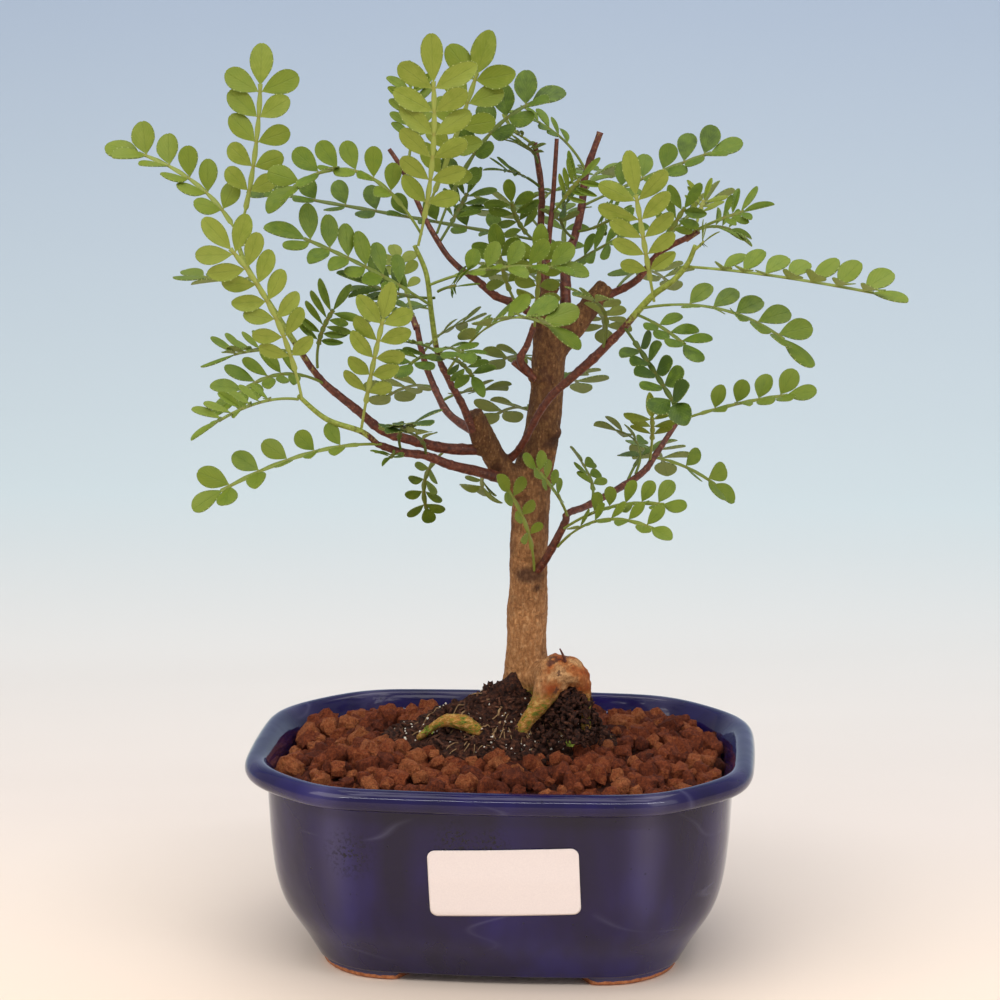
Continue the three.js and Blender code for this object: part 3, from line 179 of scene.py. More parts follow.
# Each leafy shoot: its green stem, and its fronds as foot, middle, tip, where they look, pairs of leaflets,
# length of a leaflet, fold in degrees and how light they are, partly their own colour, partly painted light
# and shade.
SHOOTS = {
    "shoot_far_left": {
      "stem": [[-50, -30, 175, 0.9], [-59, -30, 189, 0.8], [-68, -28, 203, 0.7], [-71, -26, 211, 0.6]],
      "fronds": [
        [[-69, -26, 208], [-85, -20, 226], [-112, -12, 235], SLANT, 5, 10, 38, 0.75],
        [[-70, -26, 211], [-65, -25, 237], [-64, -22, 264], VIEWER, 5, 10.5, 10, 0.8],
        [[-66, -28, 200], [-78, -8, 196], [-92, 8, 197], SKY, 3, 9, 10, 0.5],
        [[-48, -31, 175], [-45, -36, 188], [-35, -42, 200], VIEWER, 5, 9.5, 20, 0.3],
        [[-53, -30, 179], [-66, -35, 180], [-80, -39, 176], SKY, 5, 9, 30, 0.45],
      ],
    },
    "shoot_low_left": {
      "stem": [[-30, -43, 156, 0.9], [-34, -46, 160, 0.8], [-43, -50, 164, 0.75], [-50, -54, 171, 0.6]],
      "fronds": [
        [[-49, -54, 170], [-57, -62, 198], [-73, -66, 219], VIEWER, 7, 10, 5, 0.95],
        [[-34, -46, 161], [-29, -56, 182], [-24, -58, 202], VIEWER, 5, 9.5, 10, 0.9],
        [[-50, -54, 170], [-63, -62, 169], [-78, -70, 160], SKY, 6, 8.5, 30, 0.55],
        [[-29, -43, 156], [-52, -56, 154], [-79, -66, 141], SLANT, 5, 8.5, 40, 0.6],
      ],
    },
    "shoot_top_left": {
      "stem": [[-15, -20, 175, 0.8], [-16, -22, 180, 0.8], [-17, -25, 190, 0.75], [-18, -28, 201, 0.7],
        [-21, -30, 209, 0.6]],
      "fronds": [
        [[-20, -30, 209], [-15, -36, 238], [-16, -38, 267], VIEWER, 6, 12, 5, 0.95],
        [[-19, -30, 212], [-39, -34, 230], [-62, -38, 217], SLANT, 6, 9.5, 40, 0.5],
        [[-17, -26, 192], [-37, -34, 205], [-62, -38, 216], SLANT, 6, 10.5, 25, 0.4],
        [[-17, -28, 198], [4, -27, 203], [28, -24, 201], SLANT, 5, 8.5, 38, 0.45],
        [[-15, -21, 177], [-19, -36, 179], [-23, -52, 176], SKY, 3, 8, 10, 0.3],
        [[-15, -21, 178], [-20, -31, 182], [-27, -39, 184], SKY, 3, 7, 10, 0.3],
        [[-15, -21, 177], [-7, -32, 176], [-2, -40, 169], SLANT, 3, 7, 10, 0.3],
        [[-15, -21, 178], [-10, -38, 182], [-3, -54, 181], SKY, 3, 7, 10, 0.3],
        [[-15, -27, 196], [-9, -30, 198], [-2, -33, 197], SLANT, 3, 7.5, 20, 0.25],
        [[-16, -25, 194], [-30, -19, 195], [-46, -14, 201], SLANT, 5, 10, 25, 0.15],
      ],
    },
    "shoot_top": {
      "stem": [[-10, -10, 200, 0.9], [-14, -10, 204, 0.8], [-18, -9, 210, 0.8], [-21, -7, 215, 0.7],
        [-27, -4, 227, 0.7], [-31, -3, 233, 0.6]],
      "fronds": [
        [[-21, -7, 214], [-10, -12, 241], [-2, -14, 266], VIEWER, 5, 11.5, 10, 0.8],
        [[-17, -9, 210], [-3, 0, 237], [17, 6, 248], SLANT, 5, 9.5, 30, 0.25],
        [[-26, -4, 227], [-25, 2, 242], [-27, 6, 258], VIEWER, 5, 8, 20, 0.55],
        [[-16, -9, 208], [-11, -2, 217], [-5, 4, 229], VIEWER, 4, 8.5, 20, 0.2],
      ],
    },
    "shoot_middle": {
      "stem": [[13, 2, 194, 0.9], [14, -2, 208, 0.8], [15, -1, 219, 0.7], [16, 0, 236, 0.6]],
      "fronds": [
        [[15, -1, 215], [21, -6, 223], [29, -8, 232], VIEWER, 4, 8, 15, 0.5],
      ],
    },
    "shoot_right": {
      "stem": [[36, -36, 187, 1], [44, -42, 197, 0.9], [50, -46, 202, 0.8], [54, -48, 207, 0.7],
        [56, -50, 212, 0.6]],
      "fronds": [
        [[45, -42, 196], [42, -50, 215], [38, -54, 239], VIEWER, 5, 11, 5, 0.95],
        [[54, -47, 206], [80, -60, 205], [113, -74, 201], SKY, 7, 9, 35, 0.6],
        [[42, -41, 194], [67, -50, 194], [88, -58, 181], SKY, 5, 10, 30, 0.45],
        [[40, -39, 192], [49, -50, 189], [59, -64, 183], SKY, 3, 8, 20, 0.3],
        [[37, -37, 188], [46, -58, 179], [55, -80, 169], VIEWER, 5, 9, 45, 0.1],
        [[56, -50, 211], [59, -53, 214], [62, -56, 217], SLANT, 3, 6, 25, 1],
      ],
    },
    "spray_right": {
      "stem": [[52.5, -3.5, 208.5, 1], [56, -5, 211, 0.9]],
      "fronds": [
        [[55, -5, 211], [57, 0, 218], [60, 3, 226], VIEWER, 3, 7, 20, 0.9],
        [[55, -5, 211], [66, -8, 216], [77, -12, 219], SLANT, 3, 8.5, 25, 0.4],
        [[55, -5, 211], [63, 4, 211], [71, 10, 206], SLANT, 3, 8, 25, 0.3],
      ],
    },
    "spray_back_left": {
      "stem": [[-26, 19.5, 179, 1], [-27.5, 22.5, 182, 0.9]],
      "fronds": [
        [[-27, 22, 181], [-34, 26, 182], [-45, 34, 178], SKY, 3, 8, 10, 0.3],
        [[-27, 22, 181], [-31, 30, 192], [-35, 38, 202], SKY, 3, 6, 10, 0.85],
        [[-27, 22, 181], [-34, 50, 182], [-47, 79, 178], BACK, 4, 10, 10, 0.35],
      ],
    },
}

# Single fronds that stand on the wood.
FRONDS = {
    "frond_left_b": [[-46, -29, 170], [-60, -42, 174], [-74, -52, 163], SLANT, 5, 9, 30, 0.4],
    "frond_arching": [[-14, -18, 171], [5, -36, 190], [24, -42, 183], SKY, 5, 10, 30, 0.5],
    "frond_dark_long": [[12, 9, 206], [-31, 12, 213], [-75, 14, 220], SLANT, 8, 8, 38, 0.2],
    "frond_top_a": [[23, 22, 225], [14, 22, 236], [0, 16, 243], SKY, 4, 8, 10, 0.4],
    "frond_top_b": [[9, 10, 233], [4, 6, 237], [-3, 2, 240], SKY, 3, 6, 20, 0.9],
    "frond_upright": [[10, -3, 183], [12, -16, 198], [13, -20, 213], VIEWER, 4, 8, 15, 0.6],
    "frond_twig_a": [[11, 10, 221], [4, 4, 226], [-5, -1, 227], SKY, 4, 7, 10, 0.15],
    "frond_twig_b": [[10, 10, 228], [8, 3, 233], [2, -5, 237], SKY, 4, 7, 10, 0.25],
    "frond_twig_c": [[11, 9, 205], [5, -4, 214], [4, -12, 226], VIEWER, 4, 8, 15, 0.35],
    "frond_twig_d": [[11, 10, 215], [13, 20, 219], [19, 30, 218], BACK, 3, 8, 10, 0.35],
    "frond_right_a": [[18, 13, 198], [28, 2, 205], [43, -10, 214], SLANT, 4, 9, 15, 0.25],
    "frond_right_b": [[21, 18, 208], [29, 14, 211], [38, 8, 218], SLANT, 4, 8, 15, 0.3],
    "frond_right_top": [[22, 20, 215], [45, 25, 225], [68, 28, 233], SLANT, 5, 9, 30, 0.3],
    "frond_right_c": [[45, 1, 204], [53, 14, 213], [66, 24, 220], BACK, 3, 9, 10, 0.35],
    "frond_inner_a": [[-24, -38, 153], [-22, -50, 162], [-12, -66, 166], SKY, 3, 8, 10, 0.1],
    "frond_inner_b": [[-18, -32, 151], [-19, -46, 159], [-26, -60, 163], SKY, 3, 7, 20, 0.1],
    "frond_inner_c": [[-26, -40, 154], [-26, -46, 153], [-29, -53, 152], SKY, 2, 6, 20, 0.35],
    "frond_inner_d": [[-14, -10, 149], [-22, 2, 137], [-21, 14, 122], VIEWER, 4, 6, 15, 0.3],
    "frond_inner_e": [[-4, -14, 143], [-5, -2, 138], [-6, 10, 130], VIEWER, 2, 7, 15, 0.6],
    "frond_trunk_a": [[10, -1, 112], [8, -13, 129], [1, -20, 143], SLANT, 3, 6, 30, 0.65],
    "frond_trunk_b": [[20, -7, 129], [16, -18, 140], [8, -24, 150], SLANT, 4, 6, 30, 0.6],
    "frond_low_a": [[19, -8, 126], [36, -22, 136], [54, -32, 137], SLANT, 5, 7, 40, 0.6],
    "frond_low_b": [[17, -5, 120], [32, -28, 133], [50, -46, 132], SLANT, 5, 6.5, 35, 0.6],
    "frond_low_c": [[26, 4, 131], [25, 17, 136], [18, 26, 144], BACK, 3, 6.5, 15, 0.45],
    "frond_low_d": [[38, 24, 136], [37, 32, 145], [22, 40, 147], BACK, 2, 7.5, 15, 0.35],
    "frond_low_e": [[42, 29, 139], [43, 20, 151], [42, 13, 160], VIEWER, 3, 8.5, 15, 0.7],
    "frond_low_f": [[42, 30, 140], [55, 40, 134], [68, 47, 123], SLANT, 2, 8.5, 30, 0.5],
    "frond_low_g": [[49, 39, 149], [70, 35, 156], [91, 30, 160], SLANT, 4, 8.5, 40, 0.6],
    "frond_back_a": [[-24, 18, 172], [-17, 28, 178], [-6, 38, 180], BACK, 3, 8, 10, 0.35],
    "frond_back_b": [[-20, 14, 162], [-30, 30, 160], [-43, 44, 151], BACK, 3, 9, 10, 0.35],
    "frond_back_c": [[-18, 10, 159], [-11, 24, 160], [0, 38, 158], BACK, 3, 8, 10, 0.35],
    "frond_back_d": [[12, 9, 152], [3, 26, 155], [-10, 40, 146], BACK, 3, 9, 10, 0.35],
    "frond_back_e": [[12, 10, 167], [4, 28, 170], [-7, 42, 164], BACK, 3, 8, 10, 0.35],
    "frond_back_f": [[24, 10, 186], [28, 26, 182], [27, 42, 172], BACK, 3, 8, 10, 0.35],
    "frond_front": [[31, -32, 182], [31, -42, 194], [23, -54, 198], SKY, 3, 8, 15, 0.2],
    "frond_inner_f": [[5, -1, 189], [2, -13, 200], [0, -17, 214], VIEWER, 3, 8, 15, 0.45],
    "frond_right_d": [[45, 1, 204], [50, -6, 214], [57, -10, 225], VIEWER, 3, 8, 15, 0.35],
    "frond_right_e": [[20, 17, 206], [17, 6, 214], [24, -2, 224], SLANT, 3, 8, 15, 0.2],
    "frond_rear_a": [[22, 21, 217], [25, 50, 222], [28, 81, 219], BACK, 4, 10, 10, 0.35],
    "frond_rear_b": [[11, 10, 209], [0, 38, 213], [-12, 68, 206], BACK, 4, 10, 10, 0.35],
    "frond_rear_c": [[33, 10, 193], [40, 42, 194], [48, 74, 184], BACK, 4, 10, 10, 0.35],
    "frond_rear_d": [[12, 7, 190], [5, 40, 193], [-8, 74, 186], BACK, 4, 10, 10, 0.35],
    "frond_rear_e": [[36, 20, 135], [42, 50, 139], [46, 80, 124], BACK, 4, 10, 10, 0.35],
    "frond_rear_f": [[12, 9, 160], [16, 42, 162], [20, 72, 152], BACK, 4, 10, 10, 0.35],
    "frond_rear_g": [[18, 11, 192], [16, 34, 206], [15, 60, 212], BACK, 3, 9, 10, 0.35],
}


def point(row):
    return Vector(row[:3])


def chance(i, j):
    """A repeatable number from 0 to 1 for two counters."""
    wave = math.sin(i * 12.9898 + j * 78.233) * 43758.5453
    return wave - math.floor(wave)


def mix(a, b, share):
    return a + (b - a) * share


# Materials

# The roughness of most noises, between smooth and gritty.
MILD = 0.55

# Dark healed scars on the trunk: the middle of each and its reach.
DARK_SCARS = [
    ((8.6, -1.5, 110.6), 5), ((11.4, -1.5, 106.6), 1.5), ((2.9, 0, 145.6), 4), ((16.6, 0.5, 149.5), 4),
]

# Where the glaze is worn: the middle of each patch and its reach.
WORN_PLACES = [((-37, -50, 42), 9), ((-8, -55, 46.5), 8), ((2, -55, 46), 7), ((-60, -30, 52), 6)]


def linear(code):
    """An sRGB hex colour as linear light."""
    parts = [int(code[i:i + 2], 16) / 255 for i in (1, 3, 5)]
    return tuple(p / 12.92 if p <= 0.04045 else ((p + 0.055) / 1.055) ** 2.4 for p in parts) + (1.0,)


def fill(socket, value):
    """Links a socket to another node's output, or sets it; a hex colour is made linear."""
    if isinstance(value, bpy.types.NodeSocket):
        socket.id_data.links.new(value, socket)
    else:
        socket.default_value = linear(value) if isinstance(value, str) else value


def add(tree, kind, *values, out=None, stops=(), **named):
    """Adds a node of a kind, or of a kind and an operation, with its settings and links, and gives an output.

    Values go to its open inputs in order; a name with a capital is an input, the others are settings.
    """
    kind, _, operation = kind.partition(" ")
    node = tree.nodes.new("ShaderNode" + kind)
    if operation:
        node.operation = operation
    for name, value in named.items():
        if not name[0].isupper():
            setattr(node, name, value)
    for socket, value in zip([socket for socket in node.inputs if socket.enabled], values):
        fill(socket, value)
    for name, value in named.items():
        if name[0].isupper():
            fill(node.inputs[name], value)
    if stops:
        elements = node.color_ramp.elements
        while len(elements) < len(stops):
            elements.new(0.5)
        for element, (position, shade) in zip(elements, stops):
            element.position = position
            element.color = linear(shade) if isinstance(shade, str) else (shade, shade, shade, 1)
    return node.outputs[out] if out else next(socket for socket in node.outputs if socket.enabled)


def start_material(name):
    """An empty material, the way to add nodes to it, and Object coordinates in millimetres."""
    material = bpy.data.materials.new(name)
    material.use_nodes = True
    node = functools.partial(add, material.node_tree)
    place = node("VectorMath MULTIPLY", node("TexCoord", out="Object"), (1000, 1000, 1000))
    return material, node, place


def finish_material(material, **values):
    """Sets or links the sockets of the material's own shader."""
    for name, value in values.items():
        fill(material.node_tree.nodes["Principled BSDF"].inputs[name.replace("_", " ")], value)
    return material


def cobalt_glaze():
    """Glossy cobalt glaze on stoneware: it pools darker, thins on lip and corners, where it is also lightened
    as a painted reflection, and ends above the feet.
    """
    material, node, place = start_material("cobalt_glaze")
    height = node("SeparateXYZ", place, out="Z")
    pools = node("TexNoise", node("VectorMath MULTIPLY", place, (1, 1, 0.4)), 0.06, 2, MILD)
    shade = node("ValToRGB", pools, stops=[(0.3, "#150d30"), (0.5, "#1b1142"), (0.72, "#221a5c")])
    runs = node("TexNoise", node("VectorMath MULTIPLY", place, (1, 1, 0.12)), 0.35, 4, MILD)
    run = node("Math MULTIPLY", runs, 0.25)
    # Near the corners the colour is lightened: partly thin glaze, partly a painted reflection.
    corner = node("SeparateColor", node("Attribute", attribute_name="tone"), out="Red")
    thin = node("Math MULTIPLY", corner, 0.2)
    # The lip is painted a lighter blue: partly thin glaze, partly a painted reflection.
    climb = node("Math DIVIDE", height, POT_HEIGHT)
    lip = node("ValToRGB", climb, stops=[(0.9, 0.0), (0.99, 0.25)])
    speck = node("ValToRGB", node("TexVoronoi", place, 0.22), stops=[
        (0.0, 1.0), (0.055, 1.0), (0.075, 0.0)])
    dot = node("Math MULTIPLY", speck, 0.55)
    lines = node("TexNoise", node("VectorMath MULTIPLY", place, (0.5, 1, 2.4)), 0.016, 1, MILD)
    line = node("ValToRGB", lines, stops=[(0.494, 0.0), (0.5, 1.0), (0.506, 0.0)])
    patch = node("ValToRGB", node("TexNoise", place, 0.045, 1, MILD), stops=[(0.45, 0.0), (0.6, 0.09)])
    scuff = node("Math MULTIPLY", line, patch)
    layers = [(run, "#0a0820"), (thin, "#8a86a8"), (lip, "#20215c"), (dot, "#0a0a22"), (scuff, "#9f9fc4")]
    worn = node("ValToRGB", node("TexNoise", place, 0.9, 4, 0.7), stops=[(0.52, 0.0), (0.56, 1.0)])
    for spot, size in WORN_PLACES:
        away = node("Math DIVIDE", node("VectorMath DISTANCE", place, spot), size)
        area = node("ValToRGB", away, stops=[(0.3, 0.9), (1.0, 0.0)])
        layers.append((node("Math MULTIPLY", worn, area), "#080718"))
    ragged = node("Math ADD", height, node("TexNoise", place, 0.5, 2, MILD))
    bare = node("Math GREATER_THAN", UNGLAZED_HEIGHT, ragged)
    clay = node("ValToRGB", node("TexNoise", place, 0.8, 3, MILD), stops=[
        (0.35, "#9a5a38"), (0.65, "#bd7a50")])
    for share, over in layers + [(bare, clay)]:
        shade = node("Mix", share, shade, over, data_type="RGBA")
    gloss = node("ValToRGB", node("TexNoise", place, 0.2, 3, MILD), stops=[(0.35, 0.05), (0.7, 0.13)])
    rough = node("Mix", bare, gloss, (0.85, 0.85, 0.85, 1), data_type="RGBA")
    waves = node("TexNoise", place, 0.09, 2, MILD)
    soft = node("Bump", Height=waves, Distance=0.5 * MM, Strength=0.35)
    pits = node("Math MULTIPLY", speck, -1)
    relief = node("Bump", Height=pits, Distance=0.12 * MM, Strength=0.6, Normal=soft)
    return finish_material(
        material, Base_Color=shade, Roughness=rough, Specular_IOR_Level=0.33, Coat_Weight=0.08,
        Coat_Roughness=0.03, Normal=relief)


def label_paper():
    """Coated paper, printed side left bare: almost white, a little pink, faintly fibrous."""
    material, node, place = start_material("coated_paper")
    fibres = node("TexNoise", place, 2.2, 3, MILD)
    shade = node("ValToRGB", fibres, stops=[(0.3, "#e3d9d8"), (0.7, "#e9dfdd")])
    relief = node("Bump", Height=fibres, Distance=0.02 * MM, Strength=0.4)
    return finish_material(material, Roughness=0.42, IOR=1.5, Base_Color=shade, Normal=relief)


def baked_clay():
    """Akadama clay, crushed and sieved: dry, dusty and red-brown, each grain a shade of its own; the lower
    grains and the pits are darkened as painted shade.
    """
    material, node, place = start_material("akadama_clay")
    own = node("SeparateColor", node("Attribute", attribute_name="tone"), out="Red")
    dust = node("TexNoise", place, 0.9, 5, 0.75)
    own = node("Math MULTIPLY", own, 0.35)
    dust = node("Math MULTIPLY", dust, 0.6)
    value = node("Math ADD", own, dust)
    shade = node("ValToRGB", value, stops=[
        (0.25, "#30110a"), (0.38, "#662a14"), (0.52, "#9b4b26"), (0.7, "#c87c49")])
    grit = node("TexNoise", place, 2.0, 4, 0.8)
    # Painted shade: the grit's low spots darken the colour as shade in the pits.
    pits = node("ValToRGB", grit, stops=[(0.4, 0.6), (0.49, 0.0)])
    shade = node("Mix", pits, shade, "#441c0f", data_type="RGBA")
    coarse = node("TexNoise", place, 0.8, 3, MILD)
    lumps = node("Bump", Height=coarse, Distance=0.9 * MM, Strength=0.8)
    relief = node("Bump", Height=grit, Distance=1.3 * MM, Strength=1.0, Normal=lumps)
    return finish_material(material, Roughness=0.95, IOR=1.4, Base_Color=shade, Normal=relief)


def peat():
    """Moist peat: nearly black fibres and crumbs, with brown crumbs drier on top."""
    material, node, place = start_material("peat")
    fibres = node("TexNoise", node("VectorMath MULTIPLY", place, (1, 1, 2)), 0.7, 6, 0.75)
    crumbs = node("TexVoronoi", place, 0.9)
    fibres = node("Math MULTIPLY", fibres, 0.8)
    crumbs = node("Math MULTIPLY", crumbs, 0.3)
    value = node("Math ADD", fibres, crumbs)
    shade = node("ValToRGB", value, stops=[
        (0.3, "#0f0604"), (0.48, "#29130c"), (0.62, "#482619"), (0.78, "#754b34")])
    relief = node("Bump", Height=value, Distance=1.1 * MM, Strength=0.9)
    return finish_material(material, Roughness=0.92, IOR=1.4, Base_Color=shade, Normal=relief)


def perlite():
    """Perlite, popped volcanic glass: chalk-white crumbs."""
    material, node, place = start_material("perlite")
    shade = node("ValToRGB", node("TexNoise", place, 1.5, 3, MILD), stops=[
        (0.3, "#cfc5b4"), (0.7, "#f2ecdf")])
    return finish_material(material, Roughness=0.8, Base_Color=shade)


def fine_root():
    """Fine roots: dry, pale straw brown."""
    material, node, place = start_material("fine_root")
    shade = node("ValToRGB", node("TexNoise", place, 0.8, 3, MILD), stops=[
        (0.3, "#6b4a2e"), (0.7, "#a98a61")])
    return finish_material(material, Roughness=0.8, Base_Color=shade)


def bark_chip():
    """Bits of composted bark: matt, red-brown, frayed."""
    material, node, place = start_material("bark_chip")
    grain = node("TexNoise", place, 0.6, 5, MILD)
    shade = node("ValToRGB", grain, stops=[(0.3, "#2c160d"), (0.55, "#5a3422"), (0.8, "#84583c")])
    frayed = node("TexNoise", place, 1.6, 5, MILD)
    relief = node("Bump", Height=frayed, Distance=0.3 * MM, Strength=0.8)
    return finish_material(material, Roughness=0.9, Base_Color=shade, Normal=relief)


def trunk_bark():
    """Young bark: tan, fibrous, finely cracked, darker above with pale dashes; roots orange or green."""
    material, node, place = start_material("young_bark")
    height = node("SeparateXYZ", place, out="Z")
    fibre = node("TexNoise", node("VectorMath MULTIPLY", place, (1, 1, 0.45)), 1.1, 6, 0.72)
    low = node("ValToRGB", fibre, stops=[(0.3, "#85552f"), (0.5, "#b9814f"), (0.72, "#dcae7c")])
    high = node("ValToRGB", fibre, stops=[(0.3, "#432711"), (0.5, "#6c4726"), (0.72, "#987044")])
    drift = node("Math MULTIPLY", node("TexNoise", place, 0.12, 3, MILD), 40)
    above = node("MapRange", node("Math ADD", height, drift), 115, 170)
    shade = node("Mix", above, low, high, data_type="RGBA")
    cracks = node("TexNoise", node("VectorMath MULTIPLY", place, (0.4, 0.4, 2.4)), 0.5, 4, 0.6)
    crack = node("ValToRGB", cracks, stops=[(0.485, 0.0), (0.5, 1.0), (0.515, 0.0)])
    broken = node("ValToRGB", node("TexNoise", place, 0.45, 2, MILD), stops=[(0.5, 0.0), (0.6, 0.75)])
    crack = node("Math MULTIPLY", crack, broken)
    cork = node("TexVoronoi", node("VectorMath MULTIPLY", place, (1, 1, 0.5)), 0.75)
    lenticel = node("ValToRGB", cork, stops=[(0.0, 1.0), (0.14, 0.85), (0.2, 0.0)])
    dash = node("Math MULTIPLY", lenticel, node("Math MULTIPLY", above, 0.6))
    blotch = node("ValToRGB", node("TexNoise", place, 0.17, 4, MILD), stops=[(0.52, 0.0), (0.6, 0.6)])
    upper = node("Math ADD", above, 0.15, use_clamp=True)
    blotch = node("Math MULTIPLY", blotch, upper)
    layers = [(crack, "#3f2413"), (dash, "#b88a5c"), (blotch, "#4a2413")]

    # A scar is half as high as it is wide.
    squeezed = node("VectorMath MULTIPLY", place, (1, 1, 2))
    rag = node("Math MULTIPLY", fibre, 3.0)
    for (x, y, z), reach in DARK_SCARS:
        away = node("VectorMath DISTANCE", squeezed, (x, y, 2 * z))
        share = node("Math DIVIDE", node("Math ADD", away, rag), reach + 3)
        layers.append((node("ValToRGB", share, stops=[(0.55, 0.8), (1.0, 0.0)]), "#3d2012"))

    # The round root on the right has thin orange skin, wrinkled and bruised.
    skin = node("ValToRGB", node("TexNoise", place, 0.22, 4, MILD), stops=[
        (0.36, "#a04b1a"), (0.48, "#bb7640"), (0.6, "#cf9f6c")])
    wrinkle = node("ValToRGB", node("TexNoise", place, 0.7, 6, 0.75), stops=[
        (0.46, 0.0), (0.5, 0.6), (0.54, 0.0)])
    bruise = node("ValToRGB", node("TexNoise", place, 0.3, 3, MILD), stops=[(0.58, 0.0), (0.64, 0.8)])
    for share, over in ((wrinkle, "#8a4c22"), (bruise, "#4b2a26")):
        skin = node("Mix", share, skin, over, data_type="RGBA")
    right = node("MapRange", node("SeparateXYZ", place, out="X"), 12.5, 15)
    knob = node("Math MULTIPLY", right, node("MapRange", height, 92, 89))

    # Near the peat the roots stay damp and turn green.
    damp = node("MapRange", height, 79, 75)
    algae = node("TexNoise", node("VectorMath MULTIPLY", place, (0.6, 1, 1.6)), 0.8, 5, 0.7)
    green = node("ValToRGB", algae, stops=[
        (0.34, "#2f3a10"), (0.43, "#7f8a2a"), (0.52, "#b3702c"), (0.6, "#d0a860"), (0.7, "#8f9a30")])
    for share, over in layers + [(knob, skin), (damp, green)]:
        shade = node("Mix", share, shade, over, data_type="RGBA")
    grooves = node("Math MULTIPLY", node("Math ADD", crack, wrinkle), 1.5)
    carved = node("Math SUBTRACT", lenticel, grooves)
    first = node("Bump", Height=fibre, Distance=0.45 * MM, Strength=0.7)
    relief = node("Bump", Height=carved, Distance=0.25 * MM, Strength=0.7, Normal=first)
    return finish_material(material, Base_Color=shade, Roughness=0.8, IOR=1.45, Normal=relief)


def twig_bark():
    """Second-year twigs: dark red-brown, slightly waxy, turning green towards the young end."""
    material, node, place = start_material("twig_bark")
    youth = node("SeparateColor", node("Attribute", attribute_name="tone"), out="Green")
    streak = node("TexNoise", place, 0.9, 4, MILD)
    old = node("ValToRGB", streak, stops=[(0.3, "#3a1810"), (0.55, "#613021"), (0.8, "#8a543c")])
    young = node("ValToRGB", streak, stops=[(0.3, "#6a7526"), (0.55, "#87943a"), (0.8, "#a0aa55")])
    ragged = node("Math MULTIPLY", node("Math SUBTRACT", streak, 0.5), 0.9)
    edge = node("ValToRGB", node("Math ADD", youth, ragged), stops=[(0.4, 0.0), (0.6, 1.0)])
    shade = node("Mix", edge, old, young, data_type="RGBA")
    lenticel = node("ValToRGB", node("TexVoronoi", place, 0.8), stops=[(0.0, 1.0), (0.1, 0.8), (0.15, 0.0)])
    dots = node("Math MULTIPLY", lenticel, 0.5)
    shade = node("Mix", dots, shade, "#b59a7a", data_type="RGBA")
    relief = node("Bump", Height=streak, Distance=0.2 * MM, Strength=0.6)
    return finish_material(material, Roughness=0.5, IOR=1.45, Base_Color=shade, Normal=relief)


def leaf_blade():
    """Leaf: thin, olive green, waxy above, with a faint midrib, side veins and a beaded edge; the rim is
    darkened as painted shade, and the frond's tone is partly painted light and shade.
    """
    material, node, place = start_material("leaf")
    tone = node("Attribute", attribute_name="tone")
    below = node("SeparateColor", tone, out="Blue")
    spread = node("UVMap", uv_map="leaf")
    along = node("SeparateXYZ", spread, out="X")
    beside = node("Math SUBTRACT", node("SeparateXYZ", spread, out="Y"), 0.5)
    outward = node("Math ABSOLUTE", beside)
    uneven = node("Math SUBTRACT", node("TexNoise", place, 0.45, 4, MILD), 0.5)
    uneven = node("Math MULTIPLY", uneven, 0.6)
    # The frond's tone lightens or darkens the leaf: partly its own colour, partly painted light and shade.
    light = node("Math ADD", node("SeparateColor", tone, out="Red"), uneven)
    upper = node("ValToRGB", light, stops=[
        (0.05, "#364d10"), (0.3, "#566e1a"), (0.55, "#6a7d21"), (0.8, "#738226"), (1.0, "#808c32")])
    lower = node("Mix", 0.5, upper, "#8f9a58", data_type="RGBA")
    shade = node("Mix", below, upper, lower, data_type="RGBA")
    midrib = node("ValToRGB", outward, stops=[(0.0, 1.0), (0.014, 0.7), (0.035, 0.0)])
    rib = node("Math MULTIPLY", midrib, 0.22)
    nine = node("Math MULTIPLY", along, 9.0)
    slant = node("Math SUBTRACT", nine, node("Math MULTIPLY", outward, 8.0))
    comb = node("Math PINGPONG", slant, 0.5)
    vein = node("ValToRGB", comb, stops=[(0.0, 1.0), (0.06, 0.5), (0.14, 0.0)])
    vein = node("Math MULTIPLY", vein, 0.07)
    foot = node("ValToRGB", along, stops=[(0.0, 0.35), (0.2, 0.0)])
    # Painted shade: a dark rim along the blade's edge.
    edge = node("ValToRGB", outward, stops=[(0.43, 0.0), (0.5, 0.5)])
    beads = node("ValToRGB", node("Math PINGPONG", nine, 0.5), stops=[(0.05, 0.5), (0.13, 0.0)])
    rim = node("ValToRGB", outward, stops=[(0.44, 0.0), (0.47, 1.0)])
    bead = node("Math MULTIPLY", beads, rim)
    layers = [(rib, "#55681c"), (vein, "#c2cc7e"), (foot, "#b4bd72"), (edge, "#4a5f20"), (bead, "#c6cf86")]
    for share, over in layers:
        shade = node("Mix", share, shade, over, data_type="RGBA")
    wax = node("Mix", below, (0.52, 0.52, 0.52, 1), (0.7, 0.7, 0.7, 1), data_type="RGBA")
    fine = node("Math MULTIPLY", node("TexNoise", place, 2.0, 3, MILD), 0.4)
    height = node("Math SUBTRACT", fine, midrib)
    relief = node("Bump", Height=height, Distance=0.12 * MM, Strength=0.5)
    return finish_material(material, Base_Color=shade, Roughness=wax, Specular_IOR_Level=0.3, Normal=relief)


